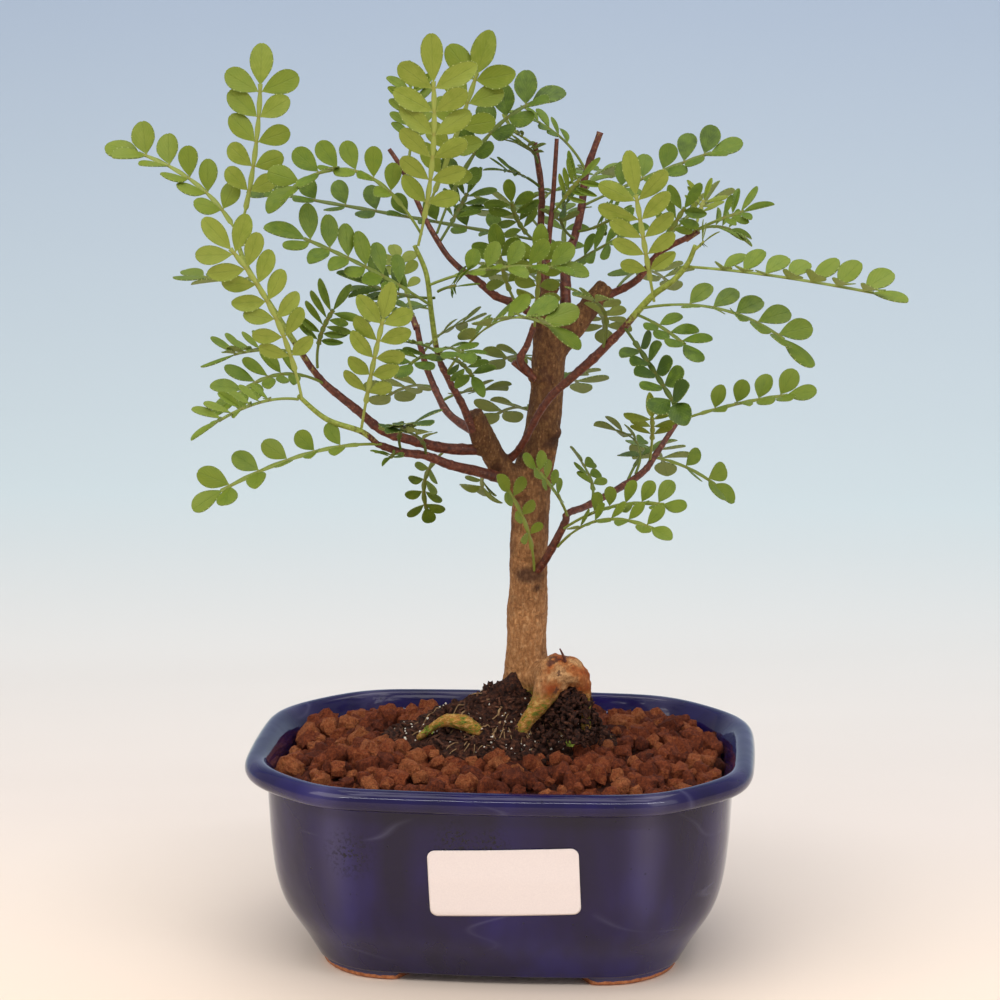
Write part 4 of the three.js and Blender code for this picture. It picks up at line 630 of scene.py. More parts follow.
def leaf_stalk():
    """Winged leaf stalk: bright green, with a red-brown joint at each pair of leaflets."""
    material, node, place = start_material("leaf_stalk")
    tone = node("Attribute", attribute_name="tone")
    # The stalk takes its frond's tone, partly painted light and shade.
    own = node("SeparateColor", tone, out="Red")
    green = node("ValToRGB", own, stops=[(0.05, "#46561c"), (0.5, "#748232"), (1.0, "#929c48")])
    joint = node("Math MULTIPLY", node("SeparateColor", tone, out="Green"), 0.6)
    shade = node("Mix", joint, green, "#7a5424", data_type="RGBA")
    ridges = node("TexNoise", place, 1.5, 3, MILD)
    relief = node("Bump", Height=ridges, Distance=0.1 * MM, Strength=0.5)
    return finish_material(material, Roughness=0.5, IOR=1.42, Base_Color=shade, Normal=relief)


def moss_leaf():
    """Living moss: short yellow-green shoots."""
    material, node, place = start_material("moss")
    shade = node("ValToRGB", node("TexNoise", place, 0.7, 3, MILD), stops=[
        (0.3, "#4d6116"), (0.7, "#a3ad3e")])
    return finish_material(material, Roughness=0.8, Base_Color=shade)


def floor_paper():
    """Matt backdrop paper: warm white in front, turning pale blue where it rises behind."""
    material, node, place = start_material("floor")
    depth = node("SeparateXYZ", place, out="Y")
    rise = node("Math MULTIPLY", node("SeparateXYZ", place, out="Z"), 2.0)
    share = node("MapRange", node("Math ADD", depth, rise), -300, 1800)
    shade = node("ValToRGB", share, stops=[
        (0.1, "#f6e3d0"), (0.2, "#ebe1da"), (0.45, "#d6e4e9"), (0.95, "#b5c6dc")])
    return finish_material(material, Roughness=0.7, Base_Color=shade)


GLAZE = cobalt_glaze()
PAPER = label_paper()
CLAY = baked_clay()
PEAT = peat()
PERLITE = perlite()
FINE_ROOT = fine_root()
BARK_CHIP = bark_chip()
BARK = trunk_bark()
TWIG = twig_bark()
LEAF = leaf_blade()
STALK = leaf_stalk()
MOSS = moss_leaf()


# Mesh tools

def new_mesh():
    """An empty bmesh with the layers that the materials read."""
    bm = bmesh.new()
    bm.loops.layers.uv.new("leaf")
    bm.verts.layers.float_color.new("tone")
    return bm


def paint(bm, verts, shade):
    layer = bm.verts.layers.float_color["tone"]
    for vert in verts:
        vert[layer] = shade(vert) if callable(shade) else shade


def faces_of(verts):
    return list({face for vert in verts for face in vert.link_faces})


def give_material(verts, index):
    for face in faces_of(verts):
        face.material_index = index


def rolled(bm, columns, rows, place, closed=True):
    """A grid bent round: place(u, v) gives each corner's place, u round the piece and v along it."""
    made = bmesh.ops.create_grid(bm, x_segments=columns, y_segments=rows, size=1.0, calc_uvs=True)["verts"]
    for vert in made:
        vert.co = place((vert.co.x + 1) / 2, (vert.co.y + 1) / 2)
    if closed:
        before = set(made)
        bmesh.ops.remove_doubles(bm, verts=made, dist=1e-4)
        made = [vert for vert in before if vert.is_valid]
    return made


def close_ends(bm, verts):
    rims = list({edge for vert in verts for edge in vert.link_edges if edge.is_boundary})
    if rims:
        bmesh.ops.holes_fill(bm, edges=rims, sides=0)


def face_outwards(bm, verts):
    bmesh.ops.recalc_face_normals(bm, faces=faces_of(verts))


def closed_tube(bm, columns, rows, place):
    """A rolled grid with closed ends, its faces outwards."""
    verts = rolled(bm, columns, rows, place)
    close_ends(bm, verts)
    face_outwards(bm, verts)
    return verts


def kept_mesh(bm, name="kind"):
    """Keeps what a bmesh holds as a mesh."""
    mesh = bpy.data.meshes.new(name)
    bm.to_mesh(mesh)
    bm.free()
    return mesh


def set_down(name, data):
    """An object for a mesh, a lamp or a camera, in the scene."""
    thing = bpy.data.objects.new(name, data)
    bpy.context.scene.collection.objects.link(thing)
    return thing


def finish_piece(bm, name, materials, nodes, smooth=True):
    """Turns the bmesh into an object in metres at the origin, riding on the one body."""
    bmesh.ops.scale(bm, vec=(MM, MM, MM), verts=bm.verts)
    mesh = kept_mesh(bm, name)
    for material in materials:
        mesh.materials.append(material)
    if smooth:
        mesh.shade_smooth()
    piece = set_down(name, mesh)
    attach(piece, "root")
    if nodes:
        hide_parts(*nodes)
    return piece


def along_rows(rows, share):
    """Place and radius on a smooth line through given rows."""
    last = len(rows) - 1
    at = min(share * last, last - 1e-6)
    i = int(at)
    t = at - i
    ends = [rows[max(i - 1, 0)], rows[i], rows[i + 1], rows[min(i + 2, last)]]
    a, b, c, d = (point(row) for row in ends)
    square = 2 * a - 5 * b + 4 * c - d
    cube = 3 * b - a - 3 * c + d
    place = 0.5 * ((2 * b) + (c - a) * t + square * t * t + cube * t ** 3)
    return place, mix(rows[i][3], rows[i + 1][3], t)


def stem_frames(rows, steps):
    """Place, two cross directions and radius at even steps along the rows."""
    side = Vector((1, 0.2, 0.1))
    frames = []
    for step in range(steps + 1):
        share = step / steps
        place, radius = along_rows(rows, share)
        ahead = along_rows(rows, min(share + 0.01, 1))[0] - along_rows(rows, max(share - 0.01, 0))[0]
        ahead.normalize()
        side = (side - ahead * side.dot(ahead)).normalized()
        frames.append((place, side.copy(), ahead.cross(side), radius))
    return frames


def stem(bm, rows, columns, steps, swell=None):
    """A round stem along its rows; swell(share, angle, place) makes its radius uneven."""
    frames = stem_frames(rows, steps)

    def place(u, v):
        middle, side, across, radius = frames[round(v * steps)]
        angle = TURN * u
        factor = swell(v, angle, middle) if swell else 1.0
        return middle + (side * math.cos(angle) + across * math.sin(angle)) * radius * factor

    return closed_tube(bm, columns, steps, place)


# Pot

def corner_wall(inset):
    """The way the slanted corner wall looks in plan, and how far out it stands."""
    start = Vector((FRONT_PANEL / 2, POT_DEPTH / 2))
    end = Vector((POT_WIDTH / 2, SIDE_PANEL / 2))
    normal = Vector((start.y - end.y, end.x - start.x)).normalized()
    return normal, normal.dot(start) - inset


def octagon(inset):
    """The eight corners of the pot's plan at an inset, round its middle."""
    normal, reach = corner_wall(inset)
    half_width = POT_WIDTH / 2 - inset
    half_depth = POT_DEPTH / 2 - inset
    front_x = (reach - normal.y * half_depth) / normal.x
    side_y = (reach - normal.x * half_width) / normal.y
    half = [(half_width, -side_y), (half_width, side_y), (front_x, half_depth), (-front_x, half_depth)]
    return [Vector(p) for p in half] + [-Vector(p) for p in half]


# The glaze runs thin this near the corners, which are taken at this inset; there it also carries a painted
# reflection as a pale band.
THIN_AND_SHEEN_INSET = 6
THIN_AND_SHEEN_REACH = 5

ARC_STEPS = 10
PANEL_STEPS = 20
OUTLINE_PLACES = 240
EASINGS = 14


def spread_evenly(outline, count):
    """Places at equal distances round a closed outline."""
    loop = outline + outline[:1]
    lengths = [(b - a).length for a, b in zip(loop, loop[1:])]
    places = []
    edge = 0
    passed = 0.0
    for i in range(count):
        wanted = sum(lengths) * i / count
        while passed + lengths[edge] < wanted:
            passed += lengths[edge]
            edge += 1
        places.append(loop[edge].lerp(loop[edge + 1], (wanted - passed) / lengths[edge]))
    return places


def pot_outline(inset):
    """The octagon moved inwards, its corners rounded and all of it eased, as places at equal distances."""
    corners = octagon(inset)
    trim = min(CORNER_TRIM, TRIM_SHARE * (corners[1] - corners[2]).length)
    outline = []
    for i, corner in enumerate(corners):
        start = corner + (corners[i - 1] - corner).normalized() * trim
        end = corner + (corners[(i + 1) % 8] - corner).normalized() * trim
        for step in range(ARC_STEPS):
            t = step / ARC_STEPS
            outline.append(start * (1 - t) ** 2 + corner * 2 * t * (1 - t) + end * t * t)
        following = corners[(i + 1) % 8]
        beyond = following + (corner - following).normalized() * trim
        away = ((corner + following) / 2).normalized()
        swell = (SIDE_BULGE, CORNER_BULGE, FRONT_BULGE, CORNER_BULGE)[i % 4]
        for step in range(PANEL_STEPS):
            t = step / PANEL_STEPS
            outline.append(end.lerp(beyond, t) + away * swell * math.sin(math.pi * t))
    middle = ARC_STEPS + PANEL_STEPS // 2
    outline = spread_evenly(outline[middle:] + outline[:middle], OUTLINE_PLACES)
    for _ in range(EASINGS):
        around = zip(outline[-1:] + outline, outline, outline[1:] + outline[:1])
        outline = [(a + 2 * b + c) / 4 for a, b, c in around]
    return [spot + POT_CENTRE for spot in outline]


def wall_inset(rows, height):
    for (low_inset, low), (high_inset, high) in zip(rows, rows[1:]):
        if low <= height <= high:
            return mix(low_inset, high_inset, (height - low) / (high - low))
    return rows[-1][0]


def smooth_profile(points, steps):
    rows = [(x, 0, z, 1) for x, z in points]
    places = [along_rows(rows, i / steps)[0] for i in range(steps + 1)]
    return [(place.x, place.z) for place in places]


def pot_profile():
    """Inset and height from the underside, up the wall, over the rolled lip and down inside."""
    lip = []
    for step in range(LIP_STEPS + 1):
        angle = math.radians(mix(*LIP_ARC, step / LIP_STEPS))
        height = POT_HEIGHT - LIP_RADIUS + LIP_RADIUS * math.sin(angle)
        lip.append((LIP_RADIUS + LIP_RADIUS * math.cos(angle), height))
    return smooth_profile(OUTER_WALL, OUTER_STEPS) + lip + smooth_profile(INNER_WALL, INNER_STEPS)


def make_pot():
    bm = new_mesh()
    profile = pot_profile()
    outlines = [pot_outline(inset) for inset, _ in profile]
    columns = len(outlines[0])

    def place(u, v):
        row = round(v * (len(profile) - 1))
        spot = outlines[row][round(u * columns) % columns]
        return Vector((spot.x, spot.y, profile[row][1]))

    verts = closed_tube(bm, columns, len(profile) - 1, place)
    # A tone near each corner for the glaze: thin glaze and a painted reflection.
    corners = [spot + POT_CENTRE for spot in octagon(THIN_AND_SHEEN_INSET)]
    for vert in verts:
        away = min((vert.co.xy - corner).length for corner in corners)
        paint(bm, [vert], (math.exp(-(away / THIN_AND_SHEEN_REACH) ** 2), 0, 0, 1))
    outer = pot_outline(FOOT_INSET)
    inner = pot_outline(FOOT_INSET + FOOT_WALL)
    for sign_x, sign_y in ((1, 1), (-1, 1), (-1, -1), (1, -1)):
        group = []
        for i, spot in enumerate(outer):
            out = spot - POT_CENTRE
            if out.x * sign_x > FOOT_GAP_X / 2 and out.y * sign_y > FOOT_GAP_Y / 2:
                group.append(i)
        if group[-1] - group[0] > len(outer) / 2:
            group.sort(key=lambda i: (i + len(outer) // 2) % len(outer))
        steps = len(group) - 1

        def foot(u, v, group=group, steps=steps):
            wide, tall = math.cos(TURN * u), math.sin(TURN * u)
            wide = math.copysign(abs(wide) ** FOOT_SQUARENESS, wide)
            tall = math.copysign(abs(tall) ** FOOT_SQUARENESS, tall)
            step = round(v * steps)
            taper = 1 if 0 < step < steps else FOOT_END
            edge = outer[group[step]]
            middle = edge.lerp(inner[group[step]], 0.5)
            spot = middle + (edge - middle) * wide * taper
            height = (FOOT_HEIGHT + FOOT_OVERLAP) / 2
            return Vector((spot.x, spot.y, height + tall * height))

        closed_tube(bm, FOOT_COLUMNS, steps, foot)
    finish_piece(bm, "glazed_pot", [GLAZE], ["pot"])


def front_wall(x, z):
    """The Y of the pot's front wall."""
    inset = wall_inset(OUTER_WALL, z)
    half_panel = octagon(inset)[7].x - CORNER_TRIM
    bulge = FRONT_BULGE * math.cos(math.pi / 2 * min(1, abs(x - POT_CENTRE.x) / half_panel))
    return POT_CENTRE.y - (POT_DEPTH / 2 - inset) - bulge


def make_label():
    """A blank sticker with rounded corners that follows the wall."""
    bm = new_mesh()
    inner_x = LABEL_WIDTH / 2 - LABEL_CORNER
    inner_z = LABEL_HEIGHT / 2 - LABEL_CORNER

    def place(u, v):
        x = (u - 0.5) * LABEL_WIDTH
        z = (v - 0.5) * LABEL_HEIGHT
        over_x = max(abs(x) - inner_x, 0)
        over_z = max(abs(z) - inner_z, 0)
        if over_x > 0 and over_z > 0:
            limit = max(over_x, over_z) / math.hypot(over_x, over_z)
            x = math.copysign(inner_x + over_x * limit, x)
            z = math.copysign(inner_z + over_z * limit, z)
        turned_x = LABEL_CENTRE[0] + x * math.cos(LABEL_TILT) - z * math.sin(LABEL_TILT)
        turned_z = LABEL_CENTRE[1] + x * math.sin(LABEL_TILT) + z * math.cos(LABEL_TILT)
        return Vector((turned_x, front_wall(turned_x, turned_z) - LABEL_LIFT, turned_z))

    verts = rolled(bm, LABEL_COLUMNS, LABEL_ROWS, place, closed=False)
    bmesh.ops.solidify(bm, geom=faces_of(verts), thickness=-LABEL_THICKNESS)
    face_outwards(bm, list(bm.verts))
    finish_piece(bm, "paper_label", [PAPER], ["blank_label"])


# Soil

def root_reach(angle):
    half_x, half_y = ROOT_BALL_HALF
    oval = half_x * half_y / math.hypot(half_y * math.cos(angle), half_x * math.sin(angle))
    return oval * (1 + 0.05 * math.sin(3 * angle + 1) + 0.03 * math.sin(5 * angle))


def root_share(x, y):
    """How far a place is from the root ball's middle, 1 at its outline."""
    dx = x - ROOT_BALL_CENTRE[0]
    dy = y - ROOT_BALL_CENTRE[1]
    return math.hypot(dx, dy) / root_reach(math.atan2(dy, dx))


def inside_pot(x, y, inset):
    """Millimetres from a place to the pot's plan at an inset, above 0 inside."""
    normal, reach = corner_wall(inset)
    out_x, out_y = abs(x - POT_CENTRE.x), abs(y - POT_CENTRE.y)
    flat = min(POT_WIDTH / 2 - inset - out_x, POT_DEPTH / 2 - inset - out_y)
    return min(flat, reach - normal.x * out_x - normal.y * out_y)


def soil_height(x, y):
    edge = inside_pot(x, y, SOIL_INSET)
    near = max(0.0, root_share(x, y) - 1)
    share = edge / (edge + near * SOIL_FALL + 1e-6)
    return SOIL_EDGE + (SOIL_MIDDLE - SOIL_EDGE) * math.sin(min(max(share, 0), 1) * math.pi / 2)


# Copies are joined this many at a time, which is quicker than all at once.
BATCH = 40


def scattered(bm, kinds, spots, material=0):
    """Adds copies of small solids, each with its kind, matrix and shade, a batch at a time."""
    for start in range(0, len(spots), BATCH):
        batch = new_mesh()
        for kind, matrix, shade in spots[start:start + BATCH]:
            batch.from_mesh(kinds[kind])
            batch.verts.ensure_lookup_table()
            fresh = batch.verts[-len(kinds[kind].vertices):]
            bmesh.ops.transform(batch, matrix=matrix, verts=fresh)
            tone = batch.verts.layers.float_color["tone"]
            for vert in fresh:
                vert[tone] = (shade, vert[tone][1], vert[tone][2], 1)
        for face in batch.faces:
            face.material_index = material
        carrier = kept_mesh(batch)
        bm.from_mesh(carrier)
        bpy.data.meshes.remove(carrier)


def crushed_grain(kind, cuts, rough):
    """A crushed lump: a block worn towards a ball and knocked out of round."""
    bm = new_mesh()
    bmesh.ops.create_cube(bm, size=1.0)
    bmesh.ops.subdivide_edges(bm, edges=list(bm.edges), cuts=cuts, use_grid_fill=True)
    for vert in bm.verts:
        ball = vert.co.normalized() * 0.55
        lump = noise.noise(vert.co * 1.9 + Vector((kind * 7.1, 0, 0)))
        dent = noise.noise(vert.co * 5.5 + Vector((0, kind * 3.7, 0)))
        vert.co = ball.lerp(vert.co, 0.32) * (1 + rough * lump + 0.8 * rough * dent)
    return kept_mesh(bm)


# Edges of the grains that bend more than this stay crisp.
GRAIN_ANGLE = math.radians(28)

# Rows of grains lie this much of a pitch apart, as packed balls do.
ROW_PITCH = 0.866

# The rough bed under the grains, and how far it lies below their top.
BED_INSET = 9.9
BED_DROP = 3.2
BED_THICKNESS = 3

# The share of the top layer's grains that is left out.
THINNED = 0.12


def turned(random_source):
    """A turn any way round."""
    turn = Matrix.Identity(4)
    for axis in "XYZ":
        turn = turn @ Matrix.Rotation(random_source.uniform(0, TURN), 4, axis)
    return turn


def make_granules():
    """Loose clay grains over a rough bed that fills the pot."""
    bm = new_mesh()
    grown = random.Random(11)
    bed_outline = pot_outline(BED_INSET)
    count = len(bed_outline)

    def bed(u, v):
        spot = bed_outline[round(u * count) % count]
        angle = math.atan2(spot.y - ROOT_BALL_CENTRE[1], spot.x - ROOT_BALL_CENTRE[0])
        reach = root_reach(angle) * 0.9
        inner = Vector(ROOT_BALL_CENTRE) + Vector((math.cos(angle), math.sin(angle))) * reach
        flat = spot.lerp(inner, v)
        rough = noise.noise(Vector((flat.x, flat.y, 0)) * 0.35)
        return Vector((flat.x, flat.y, soil_height(flat.x, flat.y) - BED_DROP + rough))

    bed_verts = rolled(bm, count, 24, bed)
    bmesh.ops.solidify(bm, geom=faces_of(bed_verts), thickness=BED_THICKNESS)
    face_outwards(bm, list(bm.verts))
    paint(bm, list(bm.verts), (0.05, 0, 0, 1))
    kinds = [crushed_grain(kind, 2, 0.36) for kind in range(GRAIN_KINDS)]
    spots = []
    for layer, (pitch, drop) in enumerate(((GRAIN_PITCH * 1.06, BED_DROP), (GRAIN_PITCH * 1.24, 0.0))):
        rows = int(POT_DEPTH / pitch / ROW_PITCH) + 2
        for row in range(-rows // 2, rows // 2 + 1):
            for column in range(-GRAIN_COLUMNS, GRAIN_COLUMNS + 1):
                x = (column + 0.5 * (row % 2) + 0.25 * layer) * pitch
                x += grown.uniform(-GRAIN_JITTER, GRAIN_JITTER)
                y = (row + 0.3 * layer) * pitch * ROW_PITCH
                y += grown.uniform(-GRAIN_JITTER, GRAIN_JITTER)
                size = grown.choice(GRAIN_SIZES) * grown.uniform(0.9, 1.1)
                if inside_pot(x, y, GRAIN_INSET) < size * 0.38 or root_share(x, y) < 1 + 0.4 * size / 25:
                    continue
                if layer and grown.random() < THINNED:
                    continue
                z = soil_height(x, y) - drop - 0.9 + grown.uniform(-1.0, 1.2)
                sides = [grown.uniform(*span) for span in ((0.85, 1.2), (0.85, 1.1), (0.75, 1))]
                stretch = Matrix.Diagonal(sides + [1])
                matrix = Matrix.Translation((x, y, z)) @ turned(grown) @ stretch @ Matrix.Scale(size, 4)
                # A grain's tone is random, and the lower layer is painted darker as shade in the gaps.
                spots.append((grown.randrange(len(kinds)), matrix, grown.uniform(0.05, 0.7) + 0.2 * layer))
    scattered(bm, kinds, spots)
    piece = finish_piece(bm, "clay_granules", [CLAY], ["granule_soil"])
    piece.data.set_sharp_from_angle(angle=GRAIN_ANGLE)


def mound_height(share):
    return SOIL_MIDDLE + ROOT_BALL_RISE * (1 - min(share, 1.2) ** ROOT_BALL_SLOPE)


def mound_place(angle, share):
    reach = root_reach(angle) * share
    x = ROOT_BALL_CENTRE[0] + reach * math.cos(angle) + ROOT_BALL_PEAK[0] * max(0, 1 - share)
    y = ROOT_BALL_CENTRE[1] + reach * math.sin(angle) + ROOT_BALL_PEAK[1] * max(0, 1 - share)
    lumps = noise.fractal(Vector((x, y, 3)) * 0.16, 1.0, 2.0, 3) * 1.7
    crumbs = noise.fractal(Vector((x, y, 9)) * 0.7, 0.9, 2.1, 3) * 0.8
    return Vector((x, y, mound_height(share) + lumps + crumbs))


def on_mound(random_source, nearest, farthest):
    """A place on the mound whose share of the reach, squared, lies between two numbers."""
    angle = random_source.uniform(0, TURN)
    return mound_place(angle, math.sqrt(random_source.uniform(nearest, farthest)))


def torn(random_source, size):
    """Stretches a crumb out of round, as peat tears."""
    long, thin = random_source.uniform(1.0, 2.4), random_source.uniform(0.5, 1.0)
    return Matrix.Diagonal((size * long, size * thin, size, 1))


CRUMBS = 1300
CRUMB_KINDS = 4
CRUMB_SIZES = (0.5, 0.7, 0.9, 1.2, 1.9)
HANGING_CRUMBS = 900
HANGING_SIZES = (0.5, 0.8, 1.2)
SPECKS = 260
CHIPS = 150
ROOTLETS = 90
ROOTLET_STEPS = 4

# The first of the fine roots are thicker.
THICK_ROOTLETS = 9


def make_root_ball():
    """The peat mound: rough skin, loose crumbs, white perlite, chips and fine roots."""
    bm = new_mesh()
    grown = random.Random(23)
    looks = [PEAT, PERLITE, FINE_ROOT, BARK_CHIP]

    def skin(u, v):
        return mound_place(TURN * u, mix(1.2, 0.02, v))

    closed_tube(bm, 180, 60, skin)
    kinds = [crushed_grain(kind + 40, 1, 0.6) for kind in range(CRUMB_KINDS)]
    crumbs = []
    for _ in range(CRUMBS):
        spot = on_mound(grown, 0.02, 1.35)
        size = grown.choice(CRUMB_SIZES)
        matrix = Matrix.Translation(spot) @ turned(grown) @ torn(grown, size)
        crumbs.append((grown.randrange(CRUMB_KINDS), matrix, 0))
    for _ in range(HANGING_CRUMBS):
        step = grown.uniform(0, 1)
        middle, radius = along_rows(HANGING_PEAT, step)
        spin = grown.uniform(0, TURN)
        spread = (radius + 0.3) * grown.uniform(0.95, 1.2) * mix(0.9, 1.5, step)
        drop = grown.uniform(-1, 1) - 3 * (1 - step)
        spot = middle + Vector((math.cos(spin) * spread, math.sin(spin) * spread, drop))
        matrix = Matrix.Translation(spot) @ turned(grown) @ torn(grown, grown.choice(HANGING_SIZES))
        crumbs.append((grown.randrange(CRUMB_KINDS), matrix, 0))
    scattered(bm, kinds, crumbs)
    specks = []
    for _ in range(SPECKS):
        lift = Matrix.Translation(on_mound(grown, 0.05, 1.0) + Vector((0, 0, 0.2)))
        matrix = lift @ turned(grown) @ Matrix.Scale(grown.uniform(0.3, 0.65), 4)
        specks.append((grown.randrange(CRUMB_KINDS), matrix, 0))
    scattered(bm, kinds, specks, looks.index(PERLITE))
    chips = []
    for _ in range(CHIPS):
        spot = on_mound(grown, 0.02, 1.0)
        lay = Matrix.Rotation(grown.uniform(0, TURN), 4, "Z") @ Matrix.Rotation(grown.gauss(0, 0.5), 4, "Y")
        size = Matrix.Diagonal((grown.uniform(1.8, 4.5), grown.uniform(0.6, 1.3), grown.uniform(0.3, 0.6), 1))
        matrix = Matrix.Translation(spot + Vector((0, 0, 0.3))) @ lay @ size
        chips.append((grown.randrange(CRUMB_KINDS), matrix, 0))
    scattered(bm, kinds, chips, looks.index(BARK_CHIP))
    for number in range(ROOTLETS):
        angle = grown.uniform(0, TURN)
        share = math.sqrt(grown.uniform(0.03, 0.9))
        drift = grown.uniform(-0.25, 0.25)
        rows = []
        length = grown.uniform(0.1, 0.24)
        for step in range(ROOTLET_STEPS + 1):
            part = step / ROOTLET_STEPS
            spot = mound_place(angle + drift * part, share + length * part)
            rise = grown.uniform(0.1, 0.7) if 0 < part < 1 else -0.4
            radius = grown.uniform(0.12, 0.2) if number >= THICK_ROOTLETS else 0.35
            rows.append((spot.x, spot.y, spot.z + rise, radius))
        give_material(stem(bm, rows, 5, 12), looks.index(FINE_ROOT))
    finish_piece(bm, "peat_mound", looks, ["root_ball"])


# Wood

def bark_swell(share, angle, place):
    """Bark that ripples a little round and along the stem."""
    spot = place * 0.11 + Vector((math.cos(angle), math.sin(angle), 0)) * 0.7
    return 1 + 0.09 * noise.noise(spot) + 0.03 * noise.noise(spot * 4)


def knob_swell(share, angle, place):
    spot = place * 0.3 + Vector((math.cos(angle), math.sin(angle), 0)) * 0.9
    return 1 + 0.24 * noise.noise(spot) + 0.1 * noise.noise(spot * 3)


TRUNK_VOXEL = 0.5

# The round root is pitted deeper: it lies below this height and right of this X.
PITTED_BELOW = 84
PITTED_RIGHT_OF = 11
PITTING = 2.4

# A branch's foot: millimetres along it, and how much wider it is there.
COLLAR = ((-1.5, 1.3), (1, 1.25), (2.5, 1.1), (4, 0.98))

# Depths of the bark's furrows and of its rings.
FURROWS = 0.2
RINGS = 0.08


def collar(rows):
    """The first stretch of a branch, flared where it leaves the wood that carries it."""
    start, following = point(rows[0]), point(rows[1])
    ahead = (following - start).normalized()
    radius = rows[0][3]
    places = []
    for reach, flare in COLLAR:
        spot = start + ahead * reach
        places.append((spot.x, spot.y, spot.z, radius * flare))
    return places


def make_trunk():
    """Trunk, roots and limbs grown together, then rippled and scarred like bark."""
    bm = new_mesh()
    stem(bm, TRUNK, 40, 120, bark_swell)
    for rows in LIMBS:
        stem(bm, rows, 28, 30, bark_swell)
    for i, rows in enumerate(ROOTS):
        stem(bm, rows, 24, 40, knob_swell if i == 0 else bark_swell)
    for rows in BRANCHES:
        stem(bm, collar(rows), 16, 10)
    for x, y, z, radius in SCARS:
        verts = bmesh.ops.create_uvsphere(bm, u_segments=16, v_segments=10, radius=radius)["verts"]
        bmesh.ops.translate(bm, vec=(x, y, z), verts=verts)
    holder = set_down("rough_trunk", kept_mesh(bm))
    remesh = holder.modifiers.new("grown_together", "REMESH")
    remesh.mode = "VOXEL"
    remesh.voxel_size = TRUNK_VOXEL
    smooth = holder.modifiers.new("eased", "SMOOTH")
    smooth.factor = 0.5
    smooth.iterations = 4
    grown = bpy.data.meshes.new_from_object(holder.evaluated_get(bpy.context.evaluated_depsgraph_get()))
    bpy.data.objects.remove(holder)
    bm = new_mesh()
    bm.from_mesh(grown)
    bm.normal_update()
    for vert in bm.verts:
        spot = vert.co
        furrow = noise.fractal(Vector((spot.x * 0.9, spot.y * 0.9, spot.z * 0.22)), 0.9, 2.0, 4)
        rings = noise.noise(Vector((spot.x * 0.25, spot.y * 0.25, spot.z * 1.6)))
        pocked = PITTING if spot.z < PITTED_BELOW and spot.x > PITTED_RIGHT_OF else 1.0
        vert.co = spot + vert.normal * (FURROWS * furrow * pocked + RINGS * rings)
    bpy.data.meshes.remove(grown)
    finish_piece(bm, "trunk_wood", [BARK], ["trunk_and_branches"])


def make_twigs():
    """Woody branches, slightly swollen at their buds, with a few prickles."""
    bm = new_mesh()
    for number, rows in enumerate(BRANCHES):
        steps = (len(rows) - 1) * 9

        def swell(share, angle, place, number=number, rows=rows):
            bud = abs(math.sin(math.pi * (len(rows) - 1) * share * 1.5))
            turn = Vector((math.cos(angle) + number, math.sin(angle), 0))
            return 1.0 + 0.5 * max(0, 0.25 - bud) + 0.1 * noise.noise(place * 0.6 + turn)

        verts = stem(bm, rows, 12, steps, swell)
        far = point(rows[-1])
        length = (far - point(rows[0])).length

        def youth(vert, far=far, length=length):
            share = 1 - (vert.co - far).length / length
            return (0.5, max(0.0, share - 0.62) * 0.9, 0, 1)

        paint(bm, verts, youth)
    for rows in SPURS:
        paint(bm, stem(bm, rows, 8, 16), (0.5, 0, 0, 1))
    for x, y, z, lean in PRICKLES:
        middle = (x + lean * 0.8, y - 0.5, z + 1.1, 0.4)
        rows = [(x, y, z, 0.7), middle, (x + lean * 1.5, y - 0.8, z + 1.9, 0.08)]
        paint(bm, stem(bm, rows, 8, 8), (0.5, 0, 0, 1))
    finish_piece(bm, "woody_twigs", [TWIG], [])


# Leaves

# Ways in which leaflets differ: droop, cup, sideways sweep and where they are widest.
LEAF_KINDS = [
    (0.06, 0.5, 0.0, 0.6), (0.16, 0.8, 0.1, 0.55), (-0.04, 0.3, -0.08, 0.64), (0.1, -0.4, 0.05, 0.58),
    (0.04, 1.0, -0.05, 0.5), (0.12, 0.4, 0.0, 0.66),
]
LEAF_COLUMNS = 9

# How unevenly the leaflets of a frond are set: their fold, lean, twist, length and shade.
FOLD_SPREAD = 0.35
LEAN_SPREAD = 0.3
TWIST_SPREAD = 0.4
LENGTH_SPREAD = 0.14
SHADE_SPREAD = 0.22

# The lowest pair of leaflets against the highest, and how far from the stalk's middle a leaflet starts.
LOWEST_PAIR = 0.8
LEAFLET_START = 0.45

# The stalk's half width at a joint and between two, its half thickness there, and a joint's reach.
STALK_HALF = 0.4
WING_HALF = 0.8
WING_THICK = 0.24
JOINT_REACH = 0.9

# Edges of the leaves that bend more than this stay crisp.
RIM_ANGLE = math.radians(50)

# Shoots that were pruned and have stayed brown up to the cut.
CUT_SHOOTS = ("shoot_top", "shoot_middle")


def leaflet_half(u, widest):
    """Half the width of a leaflet at a part of its length: a wedge at the foot, a half ellipse at the tip."""
    if u < widest:
        return 0.5 * max(0.07, math.sin(math.pi / 2 * u / widest))
    return 0.5 * max(0.12, math.sqrt(max(0.0, 1 - ((u - widest) / (1 - widest)) ** 2)))


